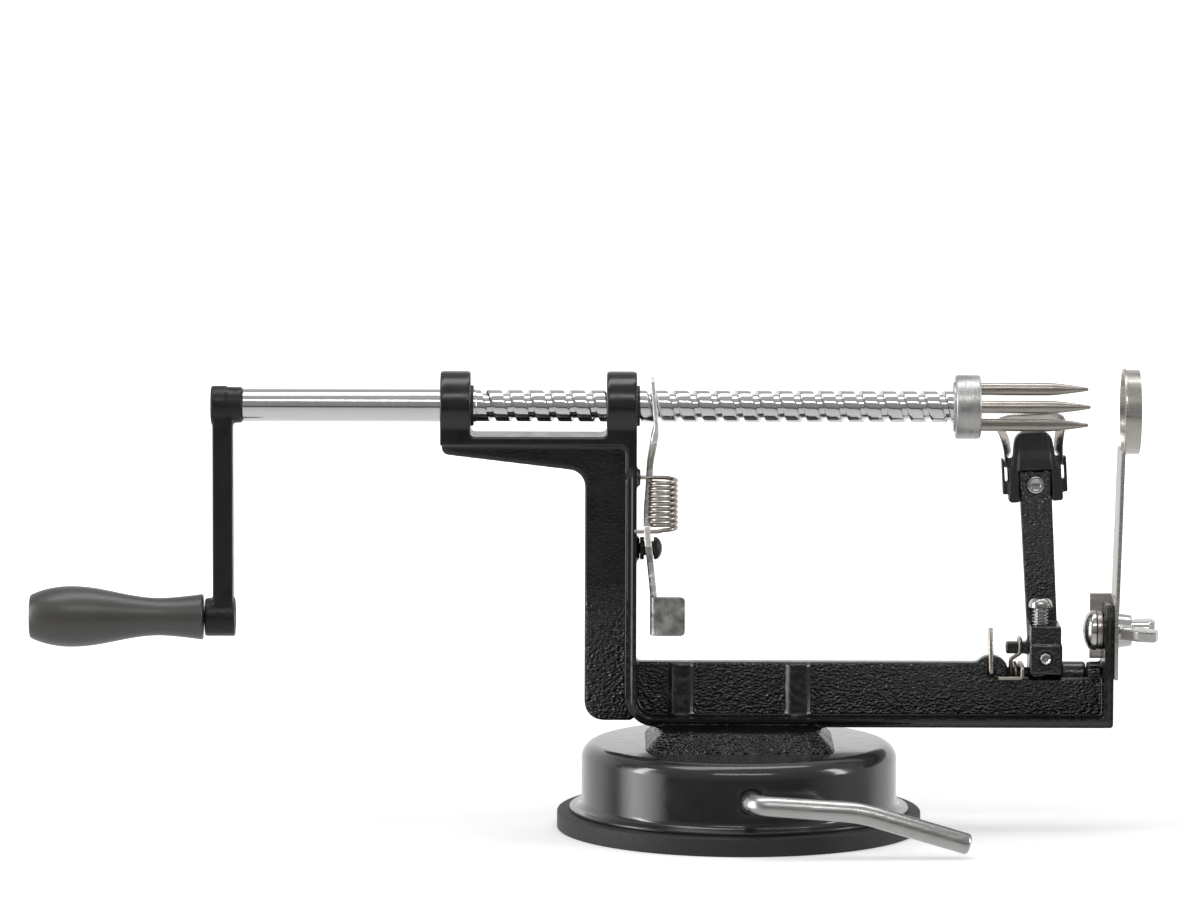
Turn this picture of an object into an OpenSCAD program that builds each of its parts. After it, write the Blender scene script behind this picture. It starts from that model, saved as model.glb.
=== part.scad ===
// Hand-cranked apple peeler, corer and slicer on a suction base.
// Millimetres. The origin is the centre of the rubber pad's underside, +Z is up,
// the screw's axis runs along X with the crank at -X, and the working side faces -Y.

/* [Suction base] */
// Diameter of the rubber pad
pad_d = 99; // [94:1:110]
// Thickness of the rubber pad
pad_t = 5; // [4:0.5:7]
// Round of the pad's rim
pad_round = 1.6; // [1:0.1:1.9]
// Outer diameter of the dome's wall
dome_d = 85.4; // [80:0.2:88]
// Diameter of the dome's foot flange
dome_flange_d = 92; // [90:0.5:93]
// Height of the dome's foot flange
dome_flange_h = 3.6; // [3:0.1:4]
// Height of the dome above the pad
dome_h = 18.5; // [18:0.5:24]
// Wall of the dome
dome_wall = 2.4; // [2:0.1:2.6]
// Round of the dome's shoulder
dome_round = 4; // [3:0.5:6]
// Diameter of the suction lever's rod
lever_d = 5.7; // [5:0.1:6.2]
// Lever's axis to the right of the pad's centre
lever_x = 2.5; // [0:0.5:4]
// Lever's axis above the pad
lever_rise = 8.9; // [8.6:0.1:9.4]
// Lever's straight stretch in front of the dome
lever_out = 7.3; // [6:0.1:10]
// Level length of the lever
lever_level = 27; // [20:1:34]
// Sloping length of the lever
lever_slope = 32; // [24:1:34]
// Slope of the lever's end
lever_drop = 15.5; // [8:0.5:15.5]
// Eccentricity of the lever's pin
lever_throw = 2; // [1.6:0.1:2]
// Diameter of the lever's eccentric pin
lever_pin_d = 4; // [3.4:0.1:4.2]

/* [Frame] */
// Height of the pedestal under the rail
pedestal_h = 4.9; // [4:0.1:8]
// Length of the pedestal's foot
pedestal_foot_l = 51; // [46:1:56]
// Depth of the pedestal's foot
pedestal_foot_w = 45; // [40:1:50]
// Length of the pedestal's top
pedestal_top_l = 41; // [39:1:45]
// Depth of the pedestal's top
pedestal_top_w = 36; // [24:1:40]
// Thickness of the flange strip
strip_t = 2.6; // [2.2:0.1:3.2]
// Depth of the flange strip
strip_w = 16; // [15.6:0.2:17]
// Thickness of the web
web_t = 4.8; // [4.2:0.1:4.9]
// Inner round where the strip turns at the upright
upright_round = 1.2; // [0.8:0.1:2]
// Inner round where the strip turns at the column
strip_round = 5; // [3:0.5:6]
// Height of the rail
rail_h = 17.2; // [16.4:0.2:18.4]
// Drop of the rail beside the arm
rail_step = 4.2; // [3.8:0.1:4.8]
// Column's working face to the left of the pad's centre
column_x = 28; // [26:0.5:32]
// Width of the column
column_w = 14; // [11:0.5:18]
// Upright's inner face to the right of the pad's centre
upright_x = 98.5; // [98:0.5:102]
// Height of the upright above the rail's underside
upright_h = 33.3; // [31.5:0.1:34]
// Height of the screw's axis above the rail's underside
axis_rise = 86.6; // [84:0.2:90]
// Depth of the saddle below the screw's axis
saddle_drop = 7.7; // [7:0.1:8.5]
// Thickness of a lug
lug_t = 8.2; // [7:0.1:10]
// Gap between the lugs
lug_gap = 36.7; // [30:0.1:45]
// Radius of a lug
lug_r = 9.4; // [8.6:0.1:11]
// Depth of the beam's web at its tip
beam_tip = 2.8; // [2:0.1:4]
// Depth of the beam's web at the column
beam_root = 7.4; // [6:0.1:10]
// Distance of the base screws to either side
base_screw_x = 15.8; // [15.8:0.1:16.5]
// Diameter of the base screws
base_screw_d = 4; // [3.5:0.1:4.4]
// Diameter of the bosses for the base screws
screw_boss_d = 8.4; // [7.6:0.1:9]
// Ear's place to the left of the upright
ear_gap = 30.3; // [29.9:0.1:31]
// Radius of the ear
ear_r = 4.7; // [4.2:0.1:4.9]

/* [Screw and crank] */
// Diameter of the plain rod
rod_d = 8.9; // [8.7:0.1:9.6]
// Outer diameter of the thread
thread_d = 8.6; // [8.2:0.1:8.7]
// Advance of the thread in one turn
thread_lead = 5.6; // [5:0.1:6.5]
// Width of the thread's groove at its mouth
groove_w = 1.9; // [1.9:0.1:2.4]
// Width of the thread's groove at its root
groove_root_w = 1.3; // [1.2:0.1:1.6]
// Depth of the thread's groove
groove_depth = 1; // [0.9:0.05:1.2]
// Wall of the bushes
bush_wall = 0.85; // [0.7:0.05:1.2]
// Length of a bush outside its lug
bush_proud = 0.8; // [0.5:0.1:1.2]
// Reach of the crank from the left lug
crank_reach = 53.4; // [52:0.2:60]
// Throw of the crank
crank_throw = 57.8; // [45:0.2:62]
// Thickness of the crank's arm
crank_t = 5.4; // [4:0.1:6]
// Radius of the crank's bosses
crank_boss_r = 5.2; // [4.8:0.1:6]
// Length of the crank's boss on the rod
crank_boss_l = 8.6; // [7:0.1:9.5]
// Diameter of the rod's ends in the crank and the hub
spigot_d = 6; // [5:0.1:6.4]
// Diameter of the pin in the grip
grip_pin_d = 5.2; // [4.6:0.1:5.6]
// Length of the grip
grip_l = 47; // [40:1:60]
// Diameter of the grip's thick end
grip_fat_d = 16.5; // [14:0.1:20]
// Diameter of the grip's waist
grip_waist_d = 10.2; // [9.4:0.1:11]
// Diameter of the grip's collar
grip_collar_d = 12.5; // [11:0.1:14]

/* [Fork and corer] */
// Place of the fork's hub to the right of the pad's centre
hub_x = 57.9; // [57:0.1:60]
// Diameter of the fork's hub
hub_d = 17.3; // [16.8:0.1:17.5]
// Length of the fork's hub
hub_l = 6.8; // [6:0.1:8]
// Diameter of a prong
prong_d = 3.5; // [3:0.1:3.8]
// Radius of the circle of prongs
prong_circle_r = 5.6; // [5.4:0.1:5.8]
// Reach of the prongs from the hub
prong_l = 29.5; // [26:0.5:30]
// Length of a prong's point
point_l = 10.8; // [8:0.1:14]
// Outer diameter of the coring ring
ring_d = 22.8; // [22.4:0.1:24]
// Wall of the coring ring
ring_wall = 0.8; // [0.6:0.1:0.9]
// Length of the coring ring
ring_l = 4.4; // [4:0.1:5]
// Ring's centre below the screw's axis
ring_drop = 1.2; // [0.6:0.1:1.2]
// Width of the slicing strip
slicer_w = 18; // [16:0.2:18.4]
// Thickness of the slicing strip
slicer_t = 1; // [0.8:0.05:1.2]
// Lean of the slicing strip
slicer_lean = 1.6; // [1:0.1:2]
// Clamp bolt's height above the rail's underside
bolt_rise = 25.8; // [24.5:0.1:26]
// Diameter of the clamp bolt
bolt_d = 5; // [4.5:0.1:5.2]
// Diameter of the clamp bolt's head
bolt_head_d = 10.9; // [10:0.1:11]
// Thickness of the clamp washer
washer_t = 1.9; // [1.2:0.1:2.1]
// Length of the wing nut
wing_l = 11.4; // [9:0.1:12]
// Half span of the wing nut
wing_span = 8.6; // [7.4:0.1:9]

/* [Release] */
// Place of the release tooth to the left of the pad's centre
tooth_x = 23.2; // [23:0.1:23.6]
// Thickness of the release plate
plate_t = 1.2; // [1:0.05:1.25]
// Thickness of the tooth that runs in the thread
tooth_t = 0.8; // [0.6:0.05:0.85]
// Width of the tooth
tooth_w = 2.4; // [2:0.1:2.4]
// Diameter of the stud
stud_d = 4.3; // [4:0.1:4.6]
// Stud's axis below the screw's axis
stud_drop = 38.7; // [37:0.1:40]
// Width of the thumb tab
tab_w = 8.2; // [6:0.1:9]
// Height of the thumb tab
tab_h = 10.6; // [8:0.1:12]
// Wire of the release spring
release_wire = 1; // [0.9:0.05:1]
// Middle diameter of the release spring's curls
release_coil_d = 7; // [6.4:0.1:7]
// Curls of the release spring
release_turns = 9; // [7:1:9]
// Rise of one curl of the release spring
release_pitch = 1.42; // [1.42:0.01:1.5]

/* [Peeling arm] */
// Diameter of the arm's pivot rod
pivot_d = 4; // [3.6:0.1:4.2]
// Pivot's axis behind the frame's middle plane
pivot_y = 6.5; // [6.3:0.1:6.8]
// Pivot's axis above the rail's underside
pivot_rise = 12.8; // [12.4:0.1:13.2]
// Diameter of the arm's hub
arm_hub_d = 7.2; // [6.6:0.1:7.4]
// Gap between the arm's block and the upright
block_gap = 11.1; // [10.6:0.1:11.6]
// Width of the arm's block
block_w = 8.9; // [8.6:0.1:9.6]
// Height of the arm's block
block_h = 13.3; // [12.6:0.1:14]
// Width of the arm's bar at its foot
bar_foot_w = 8.2; // [7.8:0.1:8.4]
// Width of the arm's bar at its head
bar_head_w = 8.8; // [8.4:0.1:9]
// Thickness of the arm's bar
bar_t = 3.6; // [3:0.1:3.8]
// Lean of the arm to the left
bar_lean = 3; // [2.5:0.1:3.4]
// Lean of the arm to the back
bar_back = 2.4; // [2.2:0.1:3]
// Length of the arm's bar above the block
bar_l = 47.5; // [45:0.5:48.5]
// Diameter of the depth screw
depth_d = 4.3; // [4:0.1:4.4]
// Length of the depth screw's shank
depth_l = 18.6; // [17.4:0.1:19]
// Diameter of the depth screw's head
depth_head_d = 6.4; // [6:0.1:6.5]
// Size of the arm's peg
peg_w = 3.2; // [2.8:0.1:3.4]
// Length of the arm's peg
peg_l = 6; // [5.4:0.1:6.4]
// Wire of the arm's spring and of the latch
arm_wire = 1.1; // [1:0.05:1.15]
// Middle diameter of the arm spring's curls
arm_coil_d = 6.4; // [6.2:0.1:6.8]
// Rise of one curl of the arm's spring
arm_pitch = 1.6; // [1.56:0.01:1.62]
// Curls of the arm's spring
arm_turns = 2; // [1:1:2]
// Width of the blade holder
holder_w = 14.9; // [14:0.1:15.2]
// Width across the blade holder's cheeks
cheeks_w = 17.6; // [17:0.1:18.4]
// Height of the blade holder
holder_h = 19; // [18:0.2:19.6]
// Thickness of the peeling blade
blade_t = 0.7; // [0.5:0.05:0.8]
// Width of the peeling blade
blade_w = 4.6; // [4:0.1:5]

/* [Clearances] */
// Play of a turning or sliding fit, on the radius
run_clear = 0.08; // [0.05:0.01:0.1]
// Play of the rod in its bushes, on the radius
bush_clear = 0.2; // [0.15:0.01:0.25]
// Room between pieces that pass each other
pass_clear = 0.3; // [0.25:0.05:0.35]
// Room for a piece that is only laid in its seat
seat_clear = 0.05; // [0.03:0.01:0.08]

/* [Hidden] */
$fn = 64;

// Heights of the base and the frame
dome_z = pad_t + dome_h;
rail_z = dome_z + pedestal_h;
rail_top = rail_z + rail_h;
rail_low = rail_top - rail_step;
upright_top = rail_z + upright_h;
axis_z = rail_z + axis_rise;
saddle_z = axis_z - saddle_drop;
lever_z = pad_t + lever_rise;

// Depth of the base screws in the rail
base_screw_reach = rail_h * 0.7;

// Places of the lugs and the bushes
right_lug_x = -column_x - lug_t;
left_lug_x = right_lug_x - lug_gap - lug_t;
bush_bore_d = rod_d + 2 * bush_clear;
bush_d = bush_bore_d + 2 * bush_wall;
lug_bore_d = bush_d + 2 * run_clear;

// Places along the screw
crank_face_x = left_lug_x - crank_reach;
crank_boss_x = crank_face_x - crank_boss_l;
crank_x = crank_boss_x + 0.5;
grip_gap = 0.5;
grip_boss_x = crank_boss_x - 1.7;
grip_boss_l = 8.2;
grip_x = grip_boss_x - grip_gap;
grip_z = axis_z - crank_throw;
hub_step = 0.5;
hub_step_d = 13.5;
prong_seat = 5;
prong_turn = 174;
thread_x0 = left_lug_x + lug_t + bush_proud + 0.6;
thread_x1 = hub_x - hub_step;
thread_sides = 18;
thread_r = thread_d / 2;
root_r = thread_r - groove_depth;
first_groove_x = -tooth_x - thread_lead * floor((-tooth_x - thread_x0) / thread_lead - 0.6);
thread_turns = floor((thread_x1 - first_groove_x) / thread_lead - 0.6);

// Places of the corer's clamp
upright_face = upright_x + strip_t;
bolt_z = rail_z + bolt_rise;
slicer_x = upright_face;
ring_z = axis_z - ring_drop;
ring_in_r = ring_d / 2 - ring_wall;
slicer_bottom = rail_low + 0.4;
slicer_pad_h = upright_top + 1.5 - slicer_bottom;
nut_x = slicer_x + slicer_t;

// Places of the release plate
stud_z = axis_z - stud_drop;
column_face = -column_x;
release_y = -7.2;
release_r = release_coil_d / 2;
release_axis_x = -20.9;
release_z0 = stud_z + 6.2;
release_z1 = release_z0 + release_turns * release_pitch + release_pitch / 2;
release_low_y = release_y - release_r;
release_high_y = release_y + release_r;
wire_hole_d = release_wire + 0.8;
stud_head_d = stud_d + 1.9;
stud_seat_l = 0.9;

// Places of the arm
ear_x = upright_x - ear_gap;
block_x = upright_x - block_gap - block_w;
pivot_z = rail_z + pivot_rise;
block_z = rail_low + 0.9;
block_top = block_z + block_h;
block_front = -3.5;
block_mid = block_x + block_w / 2;
depth_y = 0.8;
depth_x = block_mid - 1.4;
peg_z = block_z + 6.4;
foot_boss_d = arm_hub_d;
foot_boss_l = 4;
arm_hub_end = upright_x - foot_boss_l - pass_clear;
ear_z = rail_top - 2.8;
latch_l = 12.4;
coil_x0 = block_x - 1.4 - arm_wire / 2 - (arm_turns - 0.25) * arm_pitch;
lock_z = block_z + 4.4;
lock_d = 3.4;
lock_square = 2.6;
bar_shift = 0.4;
bar_sink = 6;
peg_front = 2.2;
peg_back = 1.6;
arm_leg = 6.4;

// Head of the arm, in a frame that leans with the bar
nose_w = 12;
nose_top = 9.6;
nose_round = 3;
cheek_t = 3.4;
blade_inset = 1.1;
blade_screw_d = 3;
blade_screw_drop = 4;

// Rounded outline from corner points [x, y, radius]
function unit(v) = v / norm(v);
function corner_arc(a, p, b, steps = 6) =
    let (
        u = unit([a[0] - p[0], a[1] - p[1]]),
        w = unit([b[0] - p[0], b[1] - p[1]]),
        half = acos(max(-1, min(1, u * w))) / 2,
        reach = p[2] / tan(half),
        centre = [p[0], p[1]] + unit(u + w) * p[2] / sin(half),
        from = [p[0], p[1]] + u * reach - centre,
        to = [p[0], p[1]] + w * reach - centre,
        start = atan2(from[1], from[0]),
        raw = atan2(to[1], to[0]) - start,
        sweep = raw > 180 ? raw - 360 : raw < -180 ? raw + 360 : raw
    )
    [for (i = [0:steps]) centre + p[2] * [cos(start + sweep * i / steps), sin(start + sweep * i / steps)]];
function rounded(pts) = [
    for (i = [0:len(pts) - 1])
        let (a = pts[(i + len(pts) - 1) % len(pts)], p = pts[i], b = pts[(i + 1) % len(pts)])
        each p[2] > 0 ? corner_arc(a, p, b) : [[p[0], p[1]]]
];

// Tube swept along points, with six sides and flat ends
function tangent(pts, i) = unit(pts[min(i + 1, len(pts) - 1)] - pts[max(i - 1, 0)]);
function turned(v, t) = unit(v - (v * t) * t);
function tube_normals(pts, i, n) =
    i == len(pts) ? [] : let (m = turned(n, tangent(pts, i))) concat([m], tube_normals(pts, i + 1, m));
function least_gap(pts, wire, skip) = min([
    for (i = [0:len(pts) - 1])
        for (j = [i + skip:1:len(pts) - 1]) norm(pts[i] - pts[j]) - wire
]);
module tube(pts, wire, start_normal, sides = 6) {
    normals = tube_normals(pts, 0, start_normal);
    rings = [
        for (i = [0:len(pts) - 1])
            let (t = tangent(pts, i), n = normals[i], b = cross(t, n))
            for (s = [0:sides - 1])
                let (turn = 360 * s / sides)
                pts[i] + wire / 2 * (n * cos(turn) + b * sin(turn))
    ];
    last = (len(pts) - 1) * sides;
    walls = [
        for (i = [0:len(pts) - 2])
            for (s = [0:sides - 1])
                let (a = i * sides + s, b = i * sides + (s + 1) % sides)
                each [[a, a + sides, b], [b, a + sides, b + sides]]
    ];
    first_cap = [for (s = [1:sides - 2]) [0, s, s + 1]];
    last_cap = [for (s = [1:sides - 2]) [last, last + s + 1, last + s]];
    polyhedron(rings, concat(walls, first_cap, last_cap), convexity = 10);
}

// Cylinders and prisms along the part's axes
module along_x(d, l, d2 = undef) rotate([0, 90, 0]) cylinder(d1 = d, d2 = is_undef(d2) ? d : d2, h = l);
module along_y(d, l) rotate([-90, 0, 0]) cylinder(d = d, h = l);
module plate_xz(pts, y0, t) translate([0, y0 + t, 0]) rotate([90, 0, 0]) linear_extrude(t) polygon(pts);
module plate_yz(x0, t) translate([x0, 0, 0]) rotate([90, 0, 90]) linear_extrude(t) children();
module block(from, to) translate(from) cube(to - from);

// Suction base
module suction_pad() color("#2b2b2b")
    rotate_extrude() polygon(rounded([
        [0, 0, 0], [pad_d / 2 - 1, 0, 0.6], [pad_d / 2, pad_t / 2, pad_round],
        [pad_d / 2 - 1, pad_t, 0.8], [0, pad_t, 0]
    ]));

module dome_bell(r, flange_r, top, z0, flange_h, round) rotate_extrude() polygon(rounded([
    [0, z0, 0], [flange_r, z0, 0], [flange_r, z0 + flange_h, flange_h / 3], [r, z0 + flange_h, 1],
    [r, top, round], [0, top, 0]
]));

module suction_dome() color("#0d0d0f") difference() {
    union() {
        difference() {
            dome_bell(dome_d / 2, dome_flange_d / 2, dome_z, pad_t, dome_flange_h, dome_round);
            translate([0, 0, pad_t - 1])
                cylinder(d = dome_d - 2 * dome_wall, h = dome_h - dome_wall + 1, $fn = 96);
        }
        intersection() {
            translate([lever_x, -dome_d / 2, lever_z]) along_y(lever_d + 5, dome_d / 2 - 9);
            dome_bell(dome_d / 2, dome_flange_d / 2, dome_z, pad_t, dome_flange_h, dome_round);
        }
    }
    translate([lever_x, -dome_d, lever_z]) along_y(lever_d + 2 * run_clear, dome_d);
    for (side = [-1, 1]) translate([side * base_screw_x, 0, pad_t])
        cylinder(d = base_screw_d + 2 * seat_clear, h = dome_h + 1);
}

// Points of an arc from angle a to angle b about a centre, in the plane of the directions u and v
function bend(centre, r, a, b, u, v, steps) =
    [for (i = [0:steps]) let (t = a + (b - a) * i / steps) centre + r * cos(t) * u + r * sin(t) * v];

// Lever's bent rod from its shaft outwards: an elbow to the right, then a knee downwards
function lever_path(front, elbow_r, knee_r, overlap) =
    let (
        x = [1, 0, 0],
        y = [0, 1, 0],
        z = [0, 0, 1],
        knee_x = lever_level - knee_r * tan(lever_drop / 2),
        knee = bend([knee_x, front, -knee_r], knee_r, 90, 90 - lever_drop, x, z, 4),
        slope = [cos(lever_drop), 0, -sin(lever_drop)]
    )
    concat(
        [[0, front + elbow_r + overlap, 0]],
        bend([elbow_r, front + elbow_r, 0], elbow_r, 180, 270, x, y, 8),
        knee,
        [[lever_level, front, 0] + lever_slope * slope]);

// The lever's eccentric pin lies below its axis at rest
module suction_lever() color("#b9babc") translate([lever_x, 0, lever_z]) {
    front = -dome_d / 2 - lever_out;
    disc_y = -8;
    disc_t = 4;
    pin_l = 7;
    elbow_r = 5;
    knee_r = 6;
    overlap = 1;
    rod_sides = 16;
    skin = 0.1;
    disc_d = 2 * lever_throw + lever_pin_d + 2;
    translate([0, front + elbow_r, 0]) along_y(lever_d, disc_y - front - elbow_r);
    translate([0, disc_y, 0]) along_y(disc_d, disc_t);
    translate([0, disc_y + disc_t, -lever_throw]) along_y(lever_pin_d, pin_l);
    tube(lever_path(front, elbow_r, knee_r, overlap), lever_d - skin, [0, 0, 1], rod_sides);
}

// The stem's slot leaves room for the pin's arc
module pad_stem() color("#8f9092") {
    slot_room = 0.5;
    slot_h = lever_pin_d + 2 * slot_room;
    slot_z = lever_z - lever_throw - slot_h / 2;
    slot_l = 2 * lever_throw + lever_pin_d + 2 * slot_room;
    stem_w = slot_l + 5;
    stem_t = 4;
    bridge = 1.8;
    stem_top = slot_z + slot_h + bridge;
    foot_t = 1.6;
    foot_w = 7.2;
    foot_l = stem_w + 8;
    difference() {
        union() {
            translate([lever_x, 0, 0])
                block([-foot_l / 2, -foot_w / 2, pad_t], [foot_l / 2, foot_w / 2, pad_t + foot_t]);
            translate([lever_x, 0, 0])
                block([-stem_w / 2, -stem_t / 2, pad_t], [stem_w / 2, stem_t / 2, stem_top]);
        }
        translate([lever_x, 0, 0])
            block([-slot_l / 2, -stem_t, slot_z], [slot_l / 2, stem_t, slot_z + slot_h]);
    }
}

module base_screws() color("#a9aaac") {
    head_h = 2.6;
    for (side = [-1, 1]) translate([side * base_screw_x, 0, dome_z - dome_wall]) {
        cylinder(d = base_screw_d, h = dome_wall + pedestal_h + base_screw_reach);
        translate([0, 0, -head_h]) cylinder(d1 = base_screw_d + 1.6, d2 = base_screw_d + 3.2, h = head_h);
    }
}

// Frame casting
module pedestal() hull() {
    slab = 0.2;
    foot_r = 6;
    linear_extrude(slab) polygon(rounded([
        for (s = [[-1, -1], [1, -1], [1, 1], [-1, 1]])
            [s[0] * pedestal_foot_l / 2, s[1] * pedestal_foot_w / 2, foot_r]
    ]));
    translate([0, 0, pedestal_h]) linear_extrude(slab) polygon(rounded([
        for (s = [[-1, -1], [1, -1], [1, 1], [-1, 1]])
            [s[0] * pedestal_top_l / 2, s[1] * pedestal_top_w / 2, foot_r]
    ]));
}

module flange_strip() plate_xz(rounded([
    [left_lug_x, saddle_z, 0], [column_face, saddle_z, 0.6],
    [column_face, rail_z + strip_t, strip_round], [upright_x, rail_z + strip_t, upright_round],
    [upright_x, upright_top, 0.6], [upright_face, upright_top, 0.6],
    [upright_face, rail_z, 0.8], [column_face - strip_t, rail_z, strip_round + strip_t],
    [column_face - strip_t, saddle_z - strip_t, 2], [left_lug_x, saddle_z - strip_t, 0]
]), -strip_w / 2, strip_w);

module web() {
    inset = 0.4;
    end = left_lug_x + 0.3;
    foot = rail_z + 1.1;
    left = column_face - column_w;
    strip_low = saddle_z - strip_t;
    ramp = ear_x - ear_r * 1.55;
    plate_xz(rounded([
        [end, strip_low + strip_t / 2, 0], [end, strip_low - beam_tip, 2],
        [left, strip_low - beam_root, 4.5], [left, foot, 5],
        [column_face - strip_t / 2, foot, 0], [column_face - strip_t / 2, strip_low + strip_t / 2, 0]
    ]), -web_t / 2, web_t);
    plate_xz(rounded([
        [column_face - strip_t / 2, rail_z + inset, 4], [upright_x + inset, rail_z + inset, 2],
        [upright_x + inset, rail_low, 0], [ear_x + ear_r - 0.6, rail_low, 0.6],
        [ear_x + ear_r - 0.6, rail_top, 0], [ramp, rail_top, 0], [column_face - inset, rail_top, 0],
        [column_face - strip_t / 2, rail_top + 4, 0]
    ]), -web_t / 2, web_t);
    translate([ear_x, -web_t / 2, ear_z]) along_y(2 * ear_r, web_t);
}

module lug_outline() {
    translate([0, axis_z]) circle(r = lug_r);
    translate([-strip_w / 2, saddle_z - strip_t / 2]) square([strip_w, axis_z - saddle_z + strip_t / 2]);
}

// Bosses behind the web that carry the pivot rod
module pivot_bosses() {
    translate([ear_x - 2, pivot_y, pivot_z]) along_x(foot_boss_d, ear_r + 1);
    block(
        [ear_x - 2, 0, pivot_z - foot_boss_d / 2],
        [ear_x + ear_r - 1, pivot_y, pivot_z + foot_boss_d / 2 - 0.6]);
    translate([upright_x - foot_boss_l, pivot_y, pivot_z]) along_x(foot_boss_d, foot_boss_l + strip_t / 2);
}

module frame_casting() color("#141416") {
    hook_l = 2;
    hook_d = 4.6;
    stud_seat_d = 6.4;
    difference() {
        union() {
            translate([0, 0, dome_z]) pedestal();
            flange_strip();
            web();
            for (x = [left_lug_x, right_lug_x]) plate_yz(x, lug_t) lug_outline();
            for (side = [-1, 1]) translate([side * base_screw_x, 0, rail_z + 0.5])
                cylinder(d = screw_boss_d, h = rail_h - 1);
            pivot_bosses();
            translate([column_face - strip_t / 2, release_high_y, release_z1])
                along_x(hook_d, strip_t / 2 + hook_l - 1);
            translate([column_face - strip_t / 2, 0, stud_z])
                along_x(stud_seat_d, strip_t / 2 + stud_seat_l);
        }
        for (x = [left_lug_x, right_lug_x]) translate([x - 1, 0, axis_z]) along_x(lug_bore_d, lug_t + 2);
        for (side = [-1, 1]) translate([side * base_screw_x, 0, dome_z - 1])
            cylinder(d = base_screw_d + 2 * seat_clear, h = pedestal_h + base_screw_reach + 2);
        translate([ear_x, pivot_y, pivot_z])
            along_x(pivot_d + 2 * seat_clear, upright_x - ear_x + strip_t / 2);
        translate([upright_x - 1, 0, bolt_z]) along_x(bolt_d + 2 * run_clear, strip_t + 2);
        translate([ear_x, -strip_w, ear_z]) along_y(arm_wire + 2 * pass_clear, 2 * strip_w);
        translate([column_face - strip_t - 1, release_high_y, release_z1])
            along_x(wire_hole_d, strip_t + hook_l + 2);
        translate([column_face - strip_t - 1, 0, stud_z]) along_x(stud_d - 1 + 2 * seat_clear, strip_t + 4);
        upright_corners();
    }
}

// Front and back corners cut off the upright's top
module upright_corners() {
    cut = 5;
    for (side = [-1, 1]) translate([upright_x - 1, side * strip_w / 2, upright_top])
        rotate([45, 0, 0]) translate([0, -cut / 2, -cut / 2]) cube([strip_t + 2, cut, cut]);
}

// Screw drive
module bush(x) color("#18181a") translate([x, 0, axis_z]) difference() {
    along_x(bush_d, lug_t + bush_proud);
    translate([-1, 0, 0]) along_x(bush_bore_d, lug_t + bush_proud + 2);
}
module bush_left() bush(left_lug_x);
module bush_right() bush(right_lug_x);

// Rows of the thread turn about X from the working side, five points to a row
function thread_at(k, shift, r) =
    let (turn = 180 + 360 * k / thread_sides)
    [first_groove_x + thread_lead * k / thread_sides + shift, r * cos(turn), r * sin(turn)];
function thread_rows() = thread_turns * thread_sides;
row_shifts = [-thread_lead / 2, -groove_w / 2, -groove_root_w / 2, groove_root_w / 2, groove_w / 2];
function row_shift(j) = row_shifts[j];
function row_radius(j) = j == 2 || j == 3 ? root_r : thread_r;
function row_point(k, j) = k <= thread_rows() ? 5 * k + j : 5 * thread_rows() + 4 + k - thread_rows();
function quad(a, b, c, d) = [[a, c, b], [a, d, c]];
function fan(a, others) = [for (i = [0:len(others) - 2]) [a, others[i + 1], others[i]]];

module thread() {
    n = thread_sides;
    rows = thread_rows();
    body = [for (k = [0:rows]) for (j = [0:4]) thread_at(k, row_shift(j), row_radius(j))];
    tail = [for (k = [1:n]) thread_at(rows + k, row_shift(0), thread_r)];
    left = [for (k = [0:n - 1]) let (p = thread_at(k, 0, thread_r)) [thread_x0, p[1], p[2]]];
    right = [for (k = [0:n - 1]) let (p = thread_at(k, 0, thread_r)) [thread_x1, p[1], p[2]]];
    l0 = len(body) + len(tail);
    r0 = l0 + n;
    winding = [
        for (k = [0:rows - 1])
            for (j = [0:4])
                each quad(
                    row_point(k, j), row_point(k + 1, j),
                    j < 4 ? row_point(k + 1, j + 1) : row_point(k + 1 + n, 0),
                    j < 4 ? row_point(k, j + 1) : row_point(k + n, 0))
    ];
    left_band = [for (k = [0:n - 2]) each quad(l0 + k, l0 + k + 1, row_point(k + 1, 0), row_point(k, 0))];
    left_seam = fan(l0 + n - 1, [
        l0, row_point(0, 0), row_point(0, 1), row_point(0, 4), row_point(n, 0), row_point(n - 1, 0)
    ]);
    right_band = [
        for (k = [1:n - 1])
            each quad(row_point(rows + k, 0), row_point(rows + k + 1, 0), r0 + (k + 1) % n, r0 + k)
    ];
    right_seam = fan(r0 + 1, [
        r0, row_point(rows + n, 0), row_point(rows, 4), row_point(rows, 1), row_point(rows, 0),
        row_point(rows + 1, 0)
    ]);
    walls = [
        [row_point(0, 4), row_point(0, 3), row_point(0, 2), row_point(0, 1)],
        [row_point(rows, 1), row_point(rows, 2), row_point(rows, 3), row_point(rows, 4)]
    ];
    caps = [[for (k = [0:n - 1]) l0 + k], [for (k = [n - 1:-1:0]) r0 + k]];
    polyhedron(
        concat(body, tail, left, right),
        concat(winding, left_band, left_seam, right_band, right_seam, walls, caps), convexity = 10);
}

module drive_screw() color("#d8d9db") translate([0, 0, axis_z]) {
    left_spigot = crank_boss_l - 0.4;
    translate([crank_face_x - left_spigot, 0, 0]) along_x(spigot_d, left_spigot);
    translate([crank_face_x, 0, 0]) along_x(rod_d, thread_x0 - crank_face_x);
    thread();
    translate([thread_x1, 0, 0]) along_x(spigot_d, hub_l + hub_step);
}

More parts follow.
